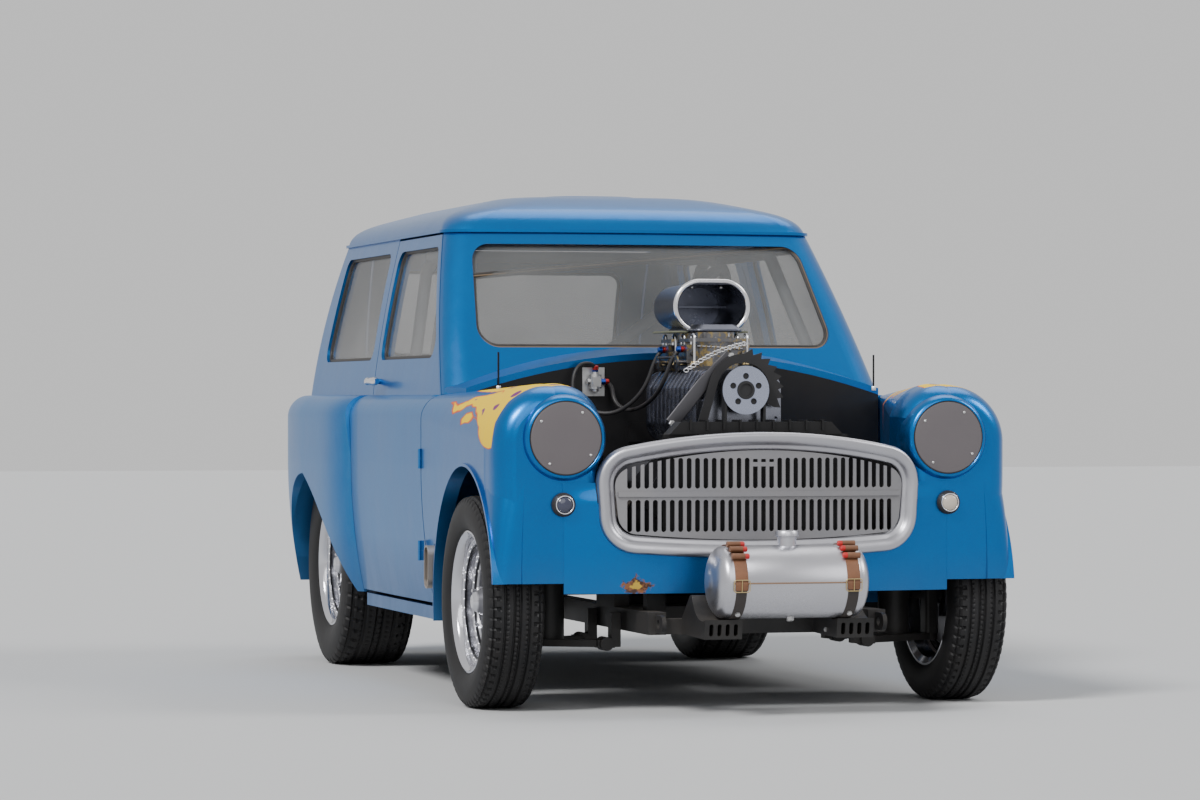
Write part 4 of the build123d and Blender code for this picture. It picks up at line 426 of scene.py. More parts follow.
# %% [markdown]
# The body paint is a deep metallic blue under clear lacquer. Fine cells scatter flakes in it, and the dust
# of the strip dulls the doors and everything that faces up. On the front wings, behind the headlamps, the
# painter laid flames: tongues that start at the lamp and break up towards the door. They are drawn by two
# fields, the place along the wing and the angle round its crest, so that they follow the wing's shape. The
# valance has a scuffed, rusty corner, and the floor pan is painted at its outer edges only, which are the
# sills under the doors.

# %% Body paint with flames
BLUE_DEEP = (0.0, 0.11, 0.37)
BLUE_FLAKE = (0.002, 0.30, 0.76)
BLUE_DUST = (0.16, 0.32, 0.47)
FLAME_YELLOW = (0.95, 0.62, 0.004)
FLAME_ORANGE = (0.80, 0.14, 0.015)
FLAME_RED = (0.52, 0.015, 0.02)
FLAME_PURPLE = (0.16, 0.02, 0.16)
FLAME_FRONT_Y = -1.30
FLAME_LENGTH = 0.58
CREST_X = 0.60
CREST_Z = 0.80
RUST_DARK = (0.05, 0.02, 0.012)
RUST_LIGHT = (0.24, 0.09, 0.03)
RUST_YELLOW = (0.55, 0.36, 0.04)
RUST_X = -0.372
RUST_Z = 0.366
GRIME = (0.10, 0.10, 0.10)
UNDER_BLACK = (0.014, 0.014, 0.015)
SILL_X = 0.715


def flames(look, colour):
    """The colour with flames over it, and their share. The angle round the crest is folded into tongues, each
    of which narrows with the way back from the lamp, and the pattern ends in a wavy line below."""
    along = (look.y - FLAME_FRONT_Y) / FLAME_LENGTH
    across = look.x.math("ABSOLUTE") - CREST_X
    angle = (look.z - CREST_Z).math("ARCTAN2", across) / (pi / 2)
    ripple = (along * 8.0 + angle * 3.0).math("SINE") * 0.07
    bent = angle + ripple + look.noise(7.0, 2.0) * 0.30
    lobe = (bent * 3.1).math("FRACT") - 0.5
    tongue = lobe.math("ABSOLUTE") * -2.0 + 1.0
    inside = tongue * 0.72 - along * 1.05 + 0.34
    low_edge = angle - along * 0.30 + (along * 9.0 + 1.0).math("SINE") * 0.07
    ends = (angle.below(1.30, 0.2) * low_edge.above(-0.12, 0.22)) * along.above(0.0, 0.03)
    inside = inside * ends + (ends - 1.0)
    colour = look.blend(inside.above(-0.045, 0.02), colour, FLAME_RED)
    colour = look.blend(inside.above(0.0, 0.04), colour, FLAME_ORANGE)
    colour = look.blend(inside.above(0.06, 0.06), colour, FLAME_YELLOW)
    island = look.cells(13.0).below(0.26, 0.03) * inside.above(0.36, 0.05)
    return look.blend(island, colour, FLAME_PURPLE), inside.above(0.0, 0.05)


def rust(look, colour):
    """The colour with a rusty scuff over it, and its share: what lies near one place, with a ragged edge."""
    near = (look.x - RUST_X).math("ABSOLUTE") * 0.7 + (look.z - RUST_Z).math("ABSOLUTE") * 1.1
    scuff = (near + look.noise(42.0, 6.0, 0.7) * 0.09).below(0.078, 0.006)
    tone = look.blend(look.noise(70.0, 3.0).above(0.5, 0.1), RUST_DARK, RUST_LIGHT)
    colour = look.blend(scuff, colour, tone)
    middle = (near + look.noise(50.0, 3.0) * 0.05).below(0.036, 0.004)
    return look.blend(middle, colour, RUST_YELLOW), scuff


def body_paint(name, pattern=None, under=0.0):
    """Blue metallic paint under a pattern. Nearer the car's middle than under, all stays black."""
    look = Look(name)
    flakes = look.cells(900.0).below(0.35, 0.4)
    wear = look.noise(5.0, 6.0, 0.68)
    streaks = look.noise(9.0, 5.0, 0.7, (1.0, 1.0, 0.25))
    base = look.blend(flakes * 0.35 + wear * 0.15, BLUE_DEEP, BLUE_FLAKE)
    side = look.x.math("ABSOLUTE").above(0.70, 0.16) * (look.y + 0.75).above(0.0, 0.9)
    film = (look.upward() * 0.05).math("MAXIMUM", 0.0) + side * 0.34 + 0.01
    film = film * (wear * 0.6 + streaks * 0.8 - 0.1).math("MAXIMUM", 0.0)
    grime = look.z.below(0.36, 0.22) * streaks * 0.5
    colour = look.blend(film, base, BLUE_DUST)
    flat = film * 0.0
    if pattern:
        colour, flat = pattern(look, colour)
    colour = look.blend(grime, colour, GRIME)
    if under:
        flat = look.x.math("ABSOLUTE").below(under, 0.004)
        colour = look.blend(flat, colour, UNDER_BLACK)
    look.set(Base_Color=colour, Metallic=(flat * -0.85 + 0.88) - film * 0.6, Specular_IOR_Level=0.25)
    look.set(Roughness=film * 0.4 + flat * 0.2 + grime * 0.5 + 0.30)
    look.set(Coat_Weight=film * -0.6 - flat * 0.25 + 0.28, Coat_Roughness=0.04)
    return look.bump(look.noise(3.2, 3.0, 0.5) + look.noise(60.0, 2.0) * 0.03, 0.28, 0.012).material


paint = body_paint("body_paint_look")
wing_paint = body_paint("wing_paint", flames)
valance_paint = body_paint("valance_paint", rust)
sill_paint = body_paint("sill_paint", under=SILL_X)

# %% [markdown]
# Every panel of the frame keeps its own shape and takes a look by its record's material slot. Four nodes
# depart from their slot: the two front wings, the valance and the floor pan.

# %% Looks for the frame's own pieces
looks = {
    "body_paint": paint, "underbody": underseal, "bay_black": bay_black, "polished_alloy": polished,
    "grille_alloy": slat_alloy, "lamp_cover": blank_cover, "lamp_lens": chrome, "red_lens": red_lens,
    "window_glass": clear_glass, "engine_iron": iron, "brass_zinc": brass, "scoop_alloy": scoop_metal,
    "exhaust_steel": pipe_steel, "tank_alloy": tank_metal, "strap_leather": brown_leather,
    "chassis_black": chassis, "seat_vinyl": black_vinyl, "cage_paint": cage, "dash_black": dash,
    "wheel_alloy": wheel_metal, "tyre_rubber": tyre_rubber, "braided_hose": hose_rubber,
    "regulator_metal": bolt_steel,
}
special = {
    "wing_left": wing_paint, "wing_right": wing_paint, "nose_valance": valance_paint, "floor_pan": sill_paint,
}
for row in frame["record"]["subparts"]:
    node = frame["nodes"][row["node"]]
    node.data.materials.clear()
    node.data.materials.append(special.get(row["node"], looks[row["material_slot"]]))
print("nodes", len(frame["nodes"]))

# %% [markdown]
# A drag car's wheel is spun from two halves of sheet alloy, riveted to a centre. Its section is one closed
# line turned round the axle: a rolled lip, two steps, each with its ring of rivets, then the dished centre
# with a conical cap and long nuts. The same line serves all four wheels, with the half width read from the
# frame.

# %% Wheels
LIP_RADIUS = 0.208
BORE = 0.0235
HUB_RADIUS = 0.062
HUB_DEPTH = {"front": -0.027, "rear": -0.060}
CAP_RADIUS = 0.030
# Painted shade: inside this radius the wheel's dish is darkened, and the step lines below are painted shadow
# rings.
SHADED_CENTRE_RADIUS = 0.146
STEP_SHADOW_LINES = ((0.1505, 0.0026), (0.169, 0.0018))
RIVET_RINGS = ((0.032, 0.176), (0.056, 0.158))
RIVETS = 40
NUTS = 5
NUT_RING = 0.088
NUT_INSET = 0.072
FRONT_LINE = (
    (0.012, 0), (0.013, 0.019), (0.018, 0.026), (0.056, 0.047), (0.060, 0.052), (0.068, 0.055),
    (0.070, 0.085), (0.074, 0.118), (0.068, 0.146), (0.058, 0.150), (0.056, 0.153), (0.056, 0.163),
    (0.054, 0.166), (0.034, 0.168), (0.032, 0.171), (0.032, 0.181), (0.029, 0.184), (0.014, 0.186),
    (0.008, 0.190), (0.004, 0.198), (0, 0.203), (0.001, LIP_RADIUS), (0.006, LIP_RADIUS), (0.009, 0.199),
    (0.022, 0.191),
)


def wheel_section(half, hub):
    """Closed section of a wheel as (outward, radius) points, from the cap round the lip to the bore."""
    front = [(half - inward, radius) for inward, radius in FRONT_LINE]
    back = [(-half + 0.022, 0.191), (-half + 0.009, 0.199), (-half, LIP_RADIUS)]
    back += [(-half, 0.202), (-half + 0.012, 0.184), (half - 0.094, 0.182), (half - 0.086, 0.150)]
    back += [(half - 0.088, HUB_RADIUS + 0.02), (half - 0.086, HUB_RADIUS), (hub, HUB_RADIUS), (hub, BORE)]
    return front + back + [(half - 0.080, BORE), (half - 0.080, 0)]


def middle_of(node):
    """Middle of a node's box."""
    low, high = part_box(node)
    return (np.array(low) + np.array(high)) / 2


def half_of(node):
    """Half the size of a node's box, along each axis."""
    low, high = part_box(node)
    return (np.array(high) - np.array(low)) / 2


def shaded_wheel_look(end):
    """Polished alloy with painted shade on its centre and painted shadow lines at the steps, by the distance
    from the axle.
    """
    look = Look(f"wheel_alloy_{end}")
    axle_line = middle_of(f"tyre_{end}_left")
    y, z = look.y - axle_line[1], look.z - axle_line[2]
    radius = (y * y + z * z).math("SQRT")
    scratches = look.noise(110.0, 6.0, 0.7)
    # Painted shade: the dish between cap and centre radius is darkened, and thin painted shadow lines darken
    # the two steps.
    centre = radius.below(SHADED_CENTRE_RADIUS, 0.004) * radius.above(CAP_RADIUS, 0.003)
    first, second = [(radius - place).math("ABSOLUTE").below(width, 0.001) for place, width in STEP_SHADOW_LINES]
    colour = look.blend(centre, (0.66, 0.66, 0.70), (0.20, 0.20, 0.22))
    look.set(Base_Color=look.blend(first + second, colour, (0.04, 0.04, 0.045)), Metallic=1.0)
    look.set(Roughness=scratches * 0.22 + centre * 0.14 + 0.06)
    return look.bump(scratches, 0.12, 0.0006).material


for end in ("front", "rear"):
    rim_metal = shaded_wheel_look(end)
    for side, name in SIDES:
        centre = middle_of(f"tyre_{end}_{name}")
        half = half_of(f"rim_{end}_{name}")[0]
        axle = (side, 0, 0)
        wheel = Piece(f"wheel_{end}_{name}")
        wheel.spin(wheel_section(half, HUB_DEPTH[end]), centre, axle, 96)
        for inset, radius in RIVET_RINGS:
            rivets = on_circle(centre + np.array([side * (half - inset), 0, 0]), axle, radius, RIVETS)
            add_domes(wheel, rivets, axle, 0.0034, 0.0026, 8, look=1)
        studs = on_circle(centre + np.array([side * (half - NUT_INSET), 0, 0]), axle, NUT_RING, NUTS, 0.3)
        add_nuts(wheel, studs, axle, 0.013, 0.024, look=1)
        for stud in studs:
            shank = [(0.0, 0), (0.0, 0.0055), (0.038, 0.0055), (0.040, 0.004), (0.040, 0)]
            wheel.spin(shank, stud, axle, 10, look=1)
        wheel.finish([rim_metal, chrome], f"wheel_{end}_{name}", [f"rim_{end}_{name}"])

# %% [markdown]
# A tyre is one grid that closes both ways: angle round the axle by place round the section. The tread is
# the same grid pushed in where grooves run: six round the tyre, and cross cuts that leave blocks at the
# shoulders. The sidewall has three shallow grooves, as moulded tyres have.

# %% Tyres
TREAD_DEPTH = 0.0065
TYRE_STEPS = 384
BEAD_INSET = 0.012


def tyre_section(half, bead, radius):
    """Section of a tyre as (outward, radius) points, from the outer bead over the tread to the inner bead."""
    side = [(bead - 0.006, 0.1935), (bead + 0.004, 0.199), (bead + 0.008, 0.209)]
    wall = np.linspace(0.0, 1.0, 16)
    depth = radius - 0.018 - 0.209
    swell = half - bead - 0.008
    bulged = np.sin(pi * np.clip(wall * 0.86, 0, 1)) ** 0.55
    side += [(bead + 0.008 + swell * b * (0.985 if n % 5 == 2 else 1.0), 0.209 + depth * w)
             for n, (w, b) in enumerate(zip(wall, bulged))][1:]
    edge = side[-1][0]
    arc = np.linspace(0, pi / 2, 6)[1:]
    side += [(edge - 0.020 * (1 - np.cos(a)), radius - 0.018 + 0.016 * np.sin(a)) for a in arc]
    tread = np.linspace(side[-1][0], 0, 19)[1:]
    side += [(x, radius - 0.002 * (x / half) ** 2) for x in tread]
    return np.array(side + [(-x, r) for x, r in reversed(side[:-1])])


def tyre_grid(section, centre, side, radius, half, blocks):
    """The section turned round the axle, with the tread pressed in and an inner wall to close it."""
    angle = np.linspace(0, 2 * pi, TYRE_STEPS, endpoint=False)[:, None]
    out, away = section[:, 0][None, :], section[:, 1][None, :]
    share = np.abs(out) / half
    on_tread = np.clip((away - (radius - 0.022)) / 0.010, 0, 1)
    round_cut = np.where((np.abs(np.mod(share * 3.0 + 0.25, 1.0) - 0.5) < 0.10) & (share < 0.80), 1.0, 0.0)
    slant = np.mod(angle * blocks / (2 * pi) + share * 0.6 + (out > 0) * 0.5, 1.0)
    cross_cut = np.where((slant < 0.24) & (share > 0.55), 1.0, 0.0)
    sipe = np.where((np.mod(slant * 2.0, 1.0) < 0.10) & (share <= 0.55), 0.6, 0.0)
    cut = np.maximum(np.maximum(round_cut, cross_cut), sipe) * on_tread
    reach = away - TREAD_DEPTH * cut
    cos, sin = np.cos(angle), np.sin(angle)
    wide = np.broadcast_to(out * side, reach.shape)
    outside = np.stack([centre[0] + wide, centre[1] + reach * cos, centre[2] + reach * sin], -1)
    inner = np.array([(-0.8, 0.1935), (-0.85, 0.245), (0, 0.262), (0.85, 0.245), (0.8, 0.1935)])
    wide = np.broadcast_to(centre[0] + side * half * inner[:, 0] * 0.8, (TYRE_STEPS, len(inner)))
    wall = np.stack([wide, centre[1] + inner[:, 1] * cos, centre[2] + inner[:, 1] * sin], -1)
    return np.concatenate([outside, wall], axis=1)


for end, blocks in (("front", 64), ("rear", 48)):
    for side, name in SIDES:
        centre = middle_of(f"tyre_{end}_{name}")
        half, radius = half_of(f"tyre_{end}_{name}")[[0, 2]]
        section = tyre_section(half, half_of(f"rim_{end}_{name}")[0] - BEAD_INSET, radius)
        tyre = Piece(f"tread_{end}_{name}")
        tyre.grid(tyre_grid(section, centre, side, radius, half, blocks), wrap_rows=True, wrap_columns=True)
        tyre.finish([tyre_rubber], f"wheel_{end}_{name}", [f"tyre_{end}_{name}"], angle=28)

# %% [markdown]
# Several pieces follow an edge of a frame panel: the grille's surround, and the rubber round each pane.
# Such a line isn't drawn by hand. A welded copy of the panel's mesh is read for its sharp edges, which form
# closed loops, and a loop is then divided into equal steps.

# %% Lines from the frame's own edges


def sharp_loops(node, angle=50):
    """Closed loops of a node's sharp edges, each an array of points in order."""
    work = bmesh.new()
    work.from_mesh(frame["nodes"][node].data)
    bmesh.ops.remove_doubles(work, verts=work.verts, dist=1e-5)
    after = {}
    for edge in work.edges:
        if len(edge.link_faces) == 2 and edge.calc_face_angle(0) > radians(angle):
            first, second = edge.verts
            after.setdefault(first, []).append(second)
            after.setdefault(second, []).append(first)
    loops = []
    seen = set()
    for start in list(after):
        if start in seen:
            continue
        loop = [start]
        seen.add(start)
        while True:
            onward = [vert for vert in after[loop[-1]] if vert not in seen]
            if not onward:
                break
            loop.append(onward[0])
            seen.add(onward[0])
        loops.append(np.array([vert.co[:] for vert in loop]))
    work.free()
    return loops


def evened(loop, pitch):
    """The same closed line with points at equal steps."""
    closed = np.vstack([loop, loop[:1]])
    walked = np.concatenate([[0], np.cumsum(np.linalg.norm(np.diff(closed, axis=0), axis=1))])
    places = np.linspace(0, walked[-1], max(int(walked[-1] / pitch), 12), endpoint=False)
    return np.stack([np.interp(places, walked, closed[:, axis]) for axis in range(3)], 1)

# %% [markdown]
# The headlamps are blanked for racing: a flat cover held by four small screws, in a body-coloured ring with
# a thin dark edge. Below each, the parking lamp keeps its domed lens in a chrome ring on a rubber pad. The
# lens on the car's left is painted pale as a painted highlight. The tail lamps get a chrome ring. Each is
# turned about a line along the car, so a few short sections serve both sides.

# %% Lamps
AHEAD = (0.0, -1.0, 0.0)
UP = (0, 0, 1)
DISC_RADIUS = 0.1035
BOSS_RADIUS = 0.113


def round_pair(node):
    """Radius of a pair of round lamps, and the middle of the face of the one on the car's left."""
    low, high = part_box(node)
    radius = (high[2] - low[2]) / 2
    return radius, np.array([high[0] - radius, high[1], low[2] + radius])


cover = round_pair("headlamp_covers")[1]
park_radius, park = round_pair("parking_lamps")
lamp_rings = Piece("headlamp_rings")
lamp_trim = Piece("headlamp_blanks")
parking = Piece("parking_lamp_lenses")
rise = np.linspace(0, pi / 2, 8)
for side in (-1, 1):
    centre = cover * (side, 1, 1)
    ring = [(0.0, DISC_RADIUS + 0.002), (0.0105, DISC_RADIUS + 0.002), (0.0125, DISC_RADIUS + 0.0045)]
    ring += [(0.0115, DISC_RADIUS + 0.0085), (0.0075, BOSS_RADIUS + 0.0030), (0.0015, BOSS_RADIUS + 0.0065)]
    ring += [(-0.008, BOSS_RADIUS + 0.0100), (-0.022, BOSS_RADIUS + 0.0125), (-0.060, BOSS_RADIUS + 0.0135)]
    ring += [(-0.060, BOSS_RADIUS), (0.0, BOSS_RADIUS)]
    lamp_rings.spin(ring, centre, AHEAD, 96, hollow=True)
    disc = [(0.001, 0), (0.001, DISC_RADIUS), (0.0125, DISC_RADIUS), (0.0138, DISC_RADIUS - 0.0013)]
    disc += [(0.0142, DISC_RADIUS - 0.004), (0.0146, 0.05), (0.0147, 0)]
    lamp_trim.spin(disc, centre, AHEAD, 96, look=2)
    edge = rounded_rectangle(0.010, 0.0026, 0.001) + np.array([0.0075, DISC_RADIUS + 0.0013])
    lamp_trim.spin(edge, centre, AHEAD, 96, hollow=True)
    screws = on_circle(centre + np.array([0, -0.0142, 0]), AHEAD, DISC_RADIUS - 0.016, 4, pi / 4 + 0.2)
    add_domes(lamp_trim, screws, AHEAD, 0.0042, 0.0022, 12, look=1)
    centre = park * (side, 1, 1)
    pad = [(-0.004, 0), (-0.004, park_radius), (0.006, park_radius - 0.001), (0.012, park_radius - 0.005)]
    pad += [(0.0145, park_radius - 0.009), (0.0145, 0)]
    parking.spin(pad, centre, AHEAD, 48)
    rim = rounded_rectangle(0.007, 0.0035, 0.0015) + np.array([0.014, park_radius - 0.0095])
    parking.spin(rim, centre, AHEAD, 48, hollow=True, look=1)
    dome = np.stack([0.013 + 0.009 * np.sin(rise), (park_radius - 0.0115) * np.cos(rise)], 1)
    dome = np.vstack([[0.008, 0], [0.008, park_radius - 0.0115], dome])
    # Painted highlight: the lens on the car's left is the same lens painted pale. The right one keeps its
    # dark colour.
    parking.spin(dome, centre, AHEAD, 48, look=2 if side < 0 else 3)
dark_lens = painted("dark_lens", (0.03, 0.035, 0.07), 0.16, 0.1, 1.0, 30.0)
# A lit copy of the dark lens: a painted highlight.
painted_highlight_lens = painted("painted_highlight_lens", (0.55, 0.48, 0.40), 0.16, 0.2, 1.0, 30.0)
lamp_rings.finish([paint], "body")
lamp_trim.finish([seal_rubber, bolt_steel, blank_cover], "body", ["headlamp_covers"])
parking.finish([seal_rubber, chrome, dark_lens, painted_highlight_lens], "body", ["parking_lamps"])

tail = Piece("tail_lamp_rings")
tail_radius, tail_place = round_pair("tail_lamps")
ring = rounded_rectangle(0.010, 0.007, 0.003) + np.array([0, tail_radius - 0.002])
for side in (-1, 1):
    tail.spin(ring, (tail_place - (0, 0.004, 0)) * (side, 1, 1), (0, 1, 0), 48, hollow=True)
tail.finish([chrome], "body")

# %% [markdown]
# The grille's surround is one casting with a rounded face and a step on its inner side. Its line is the
# outer front edge of the plain surround in the frame, made even, and a section of thirteen points goes
# along it. The slotted plate behind keeps its own shape from the frame.

# %% Grille surround
loops = [loop for loop in sharp_loops("grille_frame") if len(loop) > 8]
foremost = sorted(loops, key=lambda loop: loop[:, 1].mean())[:2]
mouth = evened(max(foremost, key=lambda loop: np.ptp(loop[:, 0])), 0.010)
turning = np.sum(mouth[:, 0] * np.roll(mouth[:, 2], -1) - mouth[:, 2] * np.roll(mouth[:, 0], -1))
if turning < 0:
    mouth = mouth[::-1]
mouth = (np.roll(mouth, 1, 0) + mouth + np.roll(mouth, -1, 0)) / 3
# Columns: way in from the outer edge, height towards the front
face = np.array([
    (0.0, -0.040), (0.0, -0.013), (0.0018, -0.006), (0.006, -0.0015), (0.012, 0.0), (0.022, -0.0015),
    (0.032, -0.0065), (0.0355, -0.012), (0.039, -0.0145), (0.045, -0.0150), (0.0495, -0.018),
    (0.052, -0.025), (0.052, -0.040),
])
surround = Piece("grille_surround")
ring = swept(face, mouth, AHEAD, closed=True)
if np.abs(ring[:, 6, 0]).max() > np.abs(ring[:, 0, 0]).max():
    ring = swept(face * np.array([-1, 1]), mouth, AHEAD, closed=True)
surround.grid(ring, wrap_rows=True, wrap_columns=True)
surround.finish([polished], "body", ["grille_frame"], angle=40)
print("mouth points", len(mouth))

# %% [markdown]
# Two short surfaces finish the nose round the arches and the grille. The lower front corner of each wing is
# squarer than the round nose above it: its section is a superellipse whose power falls with height, so that
# it sinks into the wing near the lamp. A narrow panel beside the grille joins the wing to the valance.

# %% Wing corners and nose panels
NOSE_Y = -1.360
SIDE_X = 0.7905
CORNER = (0.085, 0.135)
ARCH_CENTRE = (-0.990, 0.310)
ARCH_HALF = (0.368, 0.395)
CORNER_LOW = 0.3755
CORNER_HIGH = 0.665
VALANCE_Y = -1.400
VALANCE_HALF = 0.49
VALANCE_BOW = 0.0287
PANEL_X = (0.484, 0.582)
PANEL_Z = (0.598, 0.662)
SHEET = 0.004


def add_sheet(piece, side, x, y, z, inset):
    """A closed sheet: its front, mirrored by side, and a back face behind it, moved in by inset."""
    outer = np.stack([side * x, y, z + 0 * x], -1)
    inner = np.stack([side * (x - inset), y + SHEET, z + 0 * x], -1)[:, ::-1]
    piece.grid(np.concatenate([outer, inner], 1), wrap_columns=True, caps=True)


corners = Piece("wing_front_corners")
panels = Piece("nose_side_panels")
heights = np.linspace(CORNER_LOW, CORNER_HIGH, 30)[:, None]
share = (heights - CORNER_LOW) / (CORNER_HIGH - CORNER_LOW)
power = 5.5 - 3.3 * share
around = np.linspace(0, pi / 2, 33)[None, :]
x_line = SIDE_X - 0.012 * share ** 2 - CORNER[0] + CORNER[0] * np.sin(around) ** (2 / power)
y_line = NOSE_Y - 0.0035 * (1 - share) + CORNER[1] - CORNER[1] * np.cos(around) ** (2 / power)
arch = np.sqrt(np.maximum(1 - ((heights - ARCH_CENTRE[1]) / ARCH_HALF[1]) ** 2, 0))
y_line = np.minimum(y_line, ARCH_CENTRE[0] - ARCH_HALF[0] * arch - 0.001)
rows = np.linspace(*PANEL_Z, 9)[:, None]
across = np.linspace(0, 1, 15)[None, :]
x = PANEL_X[0] + (rows - 0.6) * 0.05 + across * (PANEL_X[1] - PANEL_X[0])
low_y = VALANCE_Y + VALANCE_BOW * (x / VALANCE_HALF) ** 2
rise = np.clip((rows - 0.605) / 0.05, 0, 1)
y = low_y + (NOSE_Y - 0.0012 - low_y) * rise ** 2 * (3 - 2 * rise) - 0.0006
for side in (-1, 1):
    add_sheet(corners, side, x_line, y_line, heights, 0.003)
    add_sheet(panels, side, x, y, rows, 0.0)
corners.finish([paint], "body", angle=50)
panels.finish([paint], "body", angle=50)

# %% [markdown]
# The fuel tank is spun alloy: a drum with domed ends, a rolled bead near each, a welded seam along its
# middle and a short filler neck. Two pairs of straps hold it. The upper one is brown leather with a brass
# buckle, the lower one dark with a bolt. Small brown tubes with red tips sit on the upper straps.

# %% Fuel tank and straps
tank_low, tank_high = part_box("fuel_tank")
strap_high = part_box("tank_straps")[1]
tank_half, tank_radius = half_of("fuel_tank")[:2]
tank_middle = np.array([0.0, (tank_low[1] + tank_high[1]) / 2, tank_low[2] + tank_radius])
strap_x = strap_high[0] - 0.019
NECK_TOP = tank_high[2] - tank_middle[2]

tank = Piece("spun_tank")
dome = np.linspace(0, pi / 2, 12)
end_line = [(tank_half, 0), (tank_half, 0.024), (tank_half - 0.002, 0.028)]
for a in dome[1:]:
    end_line.append((tank_half - 0.042 + 0.038 * np.cos(a), 0.030 + (tank_radius - 0.032) * np.sin(a)))
bead = [(tank_half - 0.050, tank_radius - 0.001), (tank_half - 0.054, tank_radius + 0.0015)]
bead += [(tank_half - 0.060, tank_radius + 0.0015), (tank_half - 0.064, tank_radius - 0.0005)]
right_line = end_line + bead
section = np.array(right_line + [(-x, r) for x, r in reversed(right_line)])
tank.spin(section, tank_middle, (1, 0, 0), 128)
seam = np.linspace(-tank_half + 0.045, tank_half - 0.045, 160)
wobble = 0.0006 * np.sin(seam * 900) + 0.0012
for side in (-1, 1):
    out = side * (tank_radius + wobble * 0.3)
    line = np.stack([seam, tank_middle[1] + out, tank_middle[2] + 0 * seam], 1)
    tank.bar(ring_outline(0.0022, 8), line, UP, look=1)
neck = [(0.085, 0), (0.085, 0.027), (NECK_TOP - 0.018, 0.027), (NECK_TOP - 0.016, 0.034)]
neck += [(NECK_TOP - 0.004, 0.034), (NECK_TOP, 0.031), (NECK_TOP, 0.013)]
neck += [(NECK_TOP - 0.001, 0.012), (NECK_TOP - 0.001, 0)]
tank.spin(neck, tank_middle, UP, 48)
drain = tank_middle + np.array([0, -0.03, -tank_radius + 0.004])
add_nuts(tank, drain, (0, -0.25, -1), 0.011, 0.010, look=2)
weld_brown = metal("weld_brown", (0.30, 0.19, 0.12), 0.5, 200.0, 0.2)
tank.finish([tank_metal, weld_brown, bolt_steel], "body", ["fuel_tank"], angle=40)


def strap_arc(x, start, end, reach, steps=60):
    """Part of a circle round the tank at place x. Angles go from the top, forwards and down."""
    turn = np.linspace(start, end, steps)
    y = tank_middle[1] - reach * np.sin(turn)
    return np.stack([np.full(steps, x), y, tank_middle[2] + reach * np.cos(turn)], 1)


straps = Piece("tank_straps_and_buckles")
STRAP_REACH = tank_radius + 0.0013
STRAP_THICK = 0.0024
SPLIT = 0.56 * pi
TUBE_TURNS = (0.11 * pi, 0.19 * pi, 0.27 * pi)
TUBE_LIFT = 0.0092
upper = rounded_rectangle(STRAP_THICK, 0.038, 0.0010)
lower = rounded_rectangle(STRAP_THICK, 0.032, 0.0010)
shell = [(-0.024, 0), (-0.024, 0.0085), (0.014, 0.0085), (0.014, 0)]
tip = [(0.013, 0), (0.013, 0.0080), (0.024, 0.0080), (0.027, 0.0062), (0.027, 0)]
for side in (-1, 1):
    x = side * strap_x
    up = (side, 0, 0)
    straps.bar(upper, strap_arc(x, -0.45 * pi, SPLIT, STRAP_REACH), up)
    straps.bar(lower, strap_arc(x, SPLIT - 0.1, 1.45 * pi, STRAP_REACH - 0.0004), up, look=1)
    for edge in (-0.0145, 0.0145):
        stitch = strap_arc(x + edge, -0.40 * pi, SPLIT - 0.05, STRAP_REACH + 0.0012, 46)
        add_domes(straps, stitch[::2], (0, -1, 0), 0.0009, 0.0006, 6, look=1)
    middle = strap_arc(x, SPLIT - 0.12, SPLIT - 0.12, STRAP_REACH + 0.0024, 1)[0]
    lean = unit(middle - np.array([x, *tank_middle[1:]]))
    slope = np.cross((1, 0, 0), lean)
    frame_line = rounded_rectangle(0.046, 0.034, 0.006, 6)
    frame_line = middle + frame_line[:, :1] * np.array([1.0, 0, 0]) + frame_line[:, 1:] * slope
    straps.hoop(ring_outline(0.0014, 10), frame_line, lean, look=2)
    pin = np.stack([middle - 0.018 * slope, middle + 0.016 * slope])
    straps.bar(ring_outline(0.0014, 8), pin, lean, look=2)
    bolt = strap_arc(x, 0.80 * pi, 0.80 * pi, STRAP_REACH + 0.001, 1)[0]
    add_nuts(straps, bolt, unit(bolt - np.array([x, *tank_middle[1:]])), 0.008, 0.007, look=3)
    for turn in TUBE_TURNS:
        place = strap_arc(x, turn, turn, STRAP_REACH + TUBE_LIFT, 1)[0]
        straps.spin(shell, place, (-side, 0, 0), 20)
        straps.spin(tip, place, (-side, 0, 0), 20, look=4)
tip_red = painted("tip_red", (0.50, 0.02, 0.02), 0.4, 0.2)
straps.finish([brown_leather, dark_leather, brass, bolt_steel, tip_red], "body", ["tank_straps"], angle=40)

# %% [markdown]
# Each pane sits in a rubber seal. Of the closed loops of the pane's edges, the one that faces out most
# carries the seal's small rounded section. The windscreen also has a thin tan strip in its seal.

# %% Window seals
PANES = {
    "door_glass_left": ("door_left", [(1, 0, 0)]), "door_glass_right": ("door_right", [(-1, 0, 0)]),
    "tailgate_glass": ("tailgate", [(0, 1, 0)]), "fixed_glass": ("body", [(0, -1, 0), (1, 0, 0), (-1, 0, 0)]),
}
tan_strip = rubber("tan_strip", (0.20, 0.135, 0.075), 0.5, 0.3)
for node, (body, outs) in PANES.items():
    loops = [loop for loop in sharp_loops(node) if len(loop) > 8]
    seals = Piece(f"seal_{node}")
    for out in outs:
        facing = np.array(out, float)
        spread = [np.ptp(loop @ facing) < 0.5 * np.linalg.norm(np.ptp(loop, axis=0)) for loop in loops]
        reach = [np.mean(loop @ facing) if ok else -9.0 for loop, ok in zip(loops, spread)]
        line = evened(loops[int(np.argmax(reach))], 0.012)
        band = rounded_rectangle(0.020, 0.012, 0.005)
        seals.hoop(band, line, facing)
        if out == (0, -1, 0):
            seals.hoop(ring_outline(0.0028, 8), line + 0.006 * facing, facing, look=1)
    seals.finish([seal_rubber, tan_strip], body, angle=50)
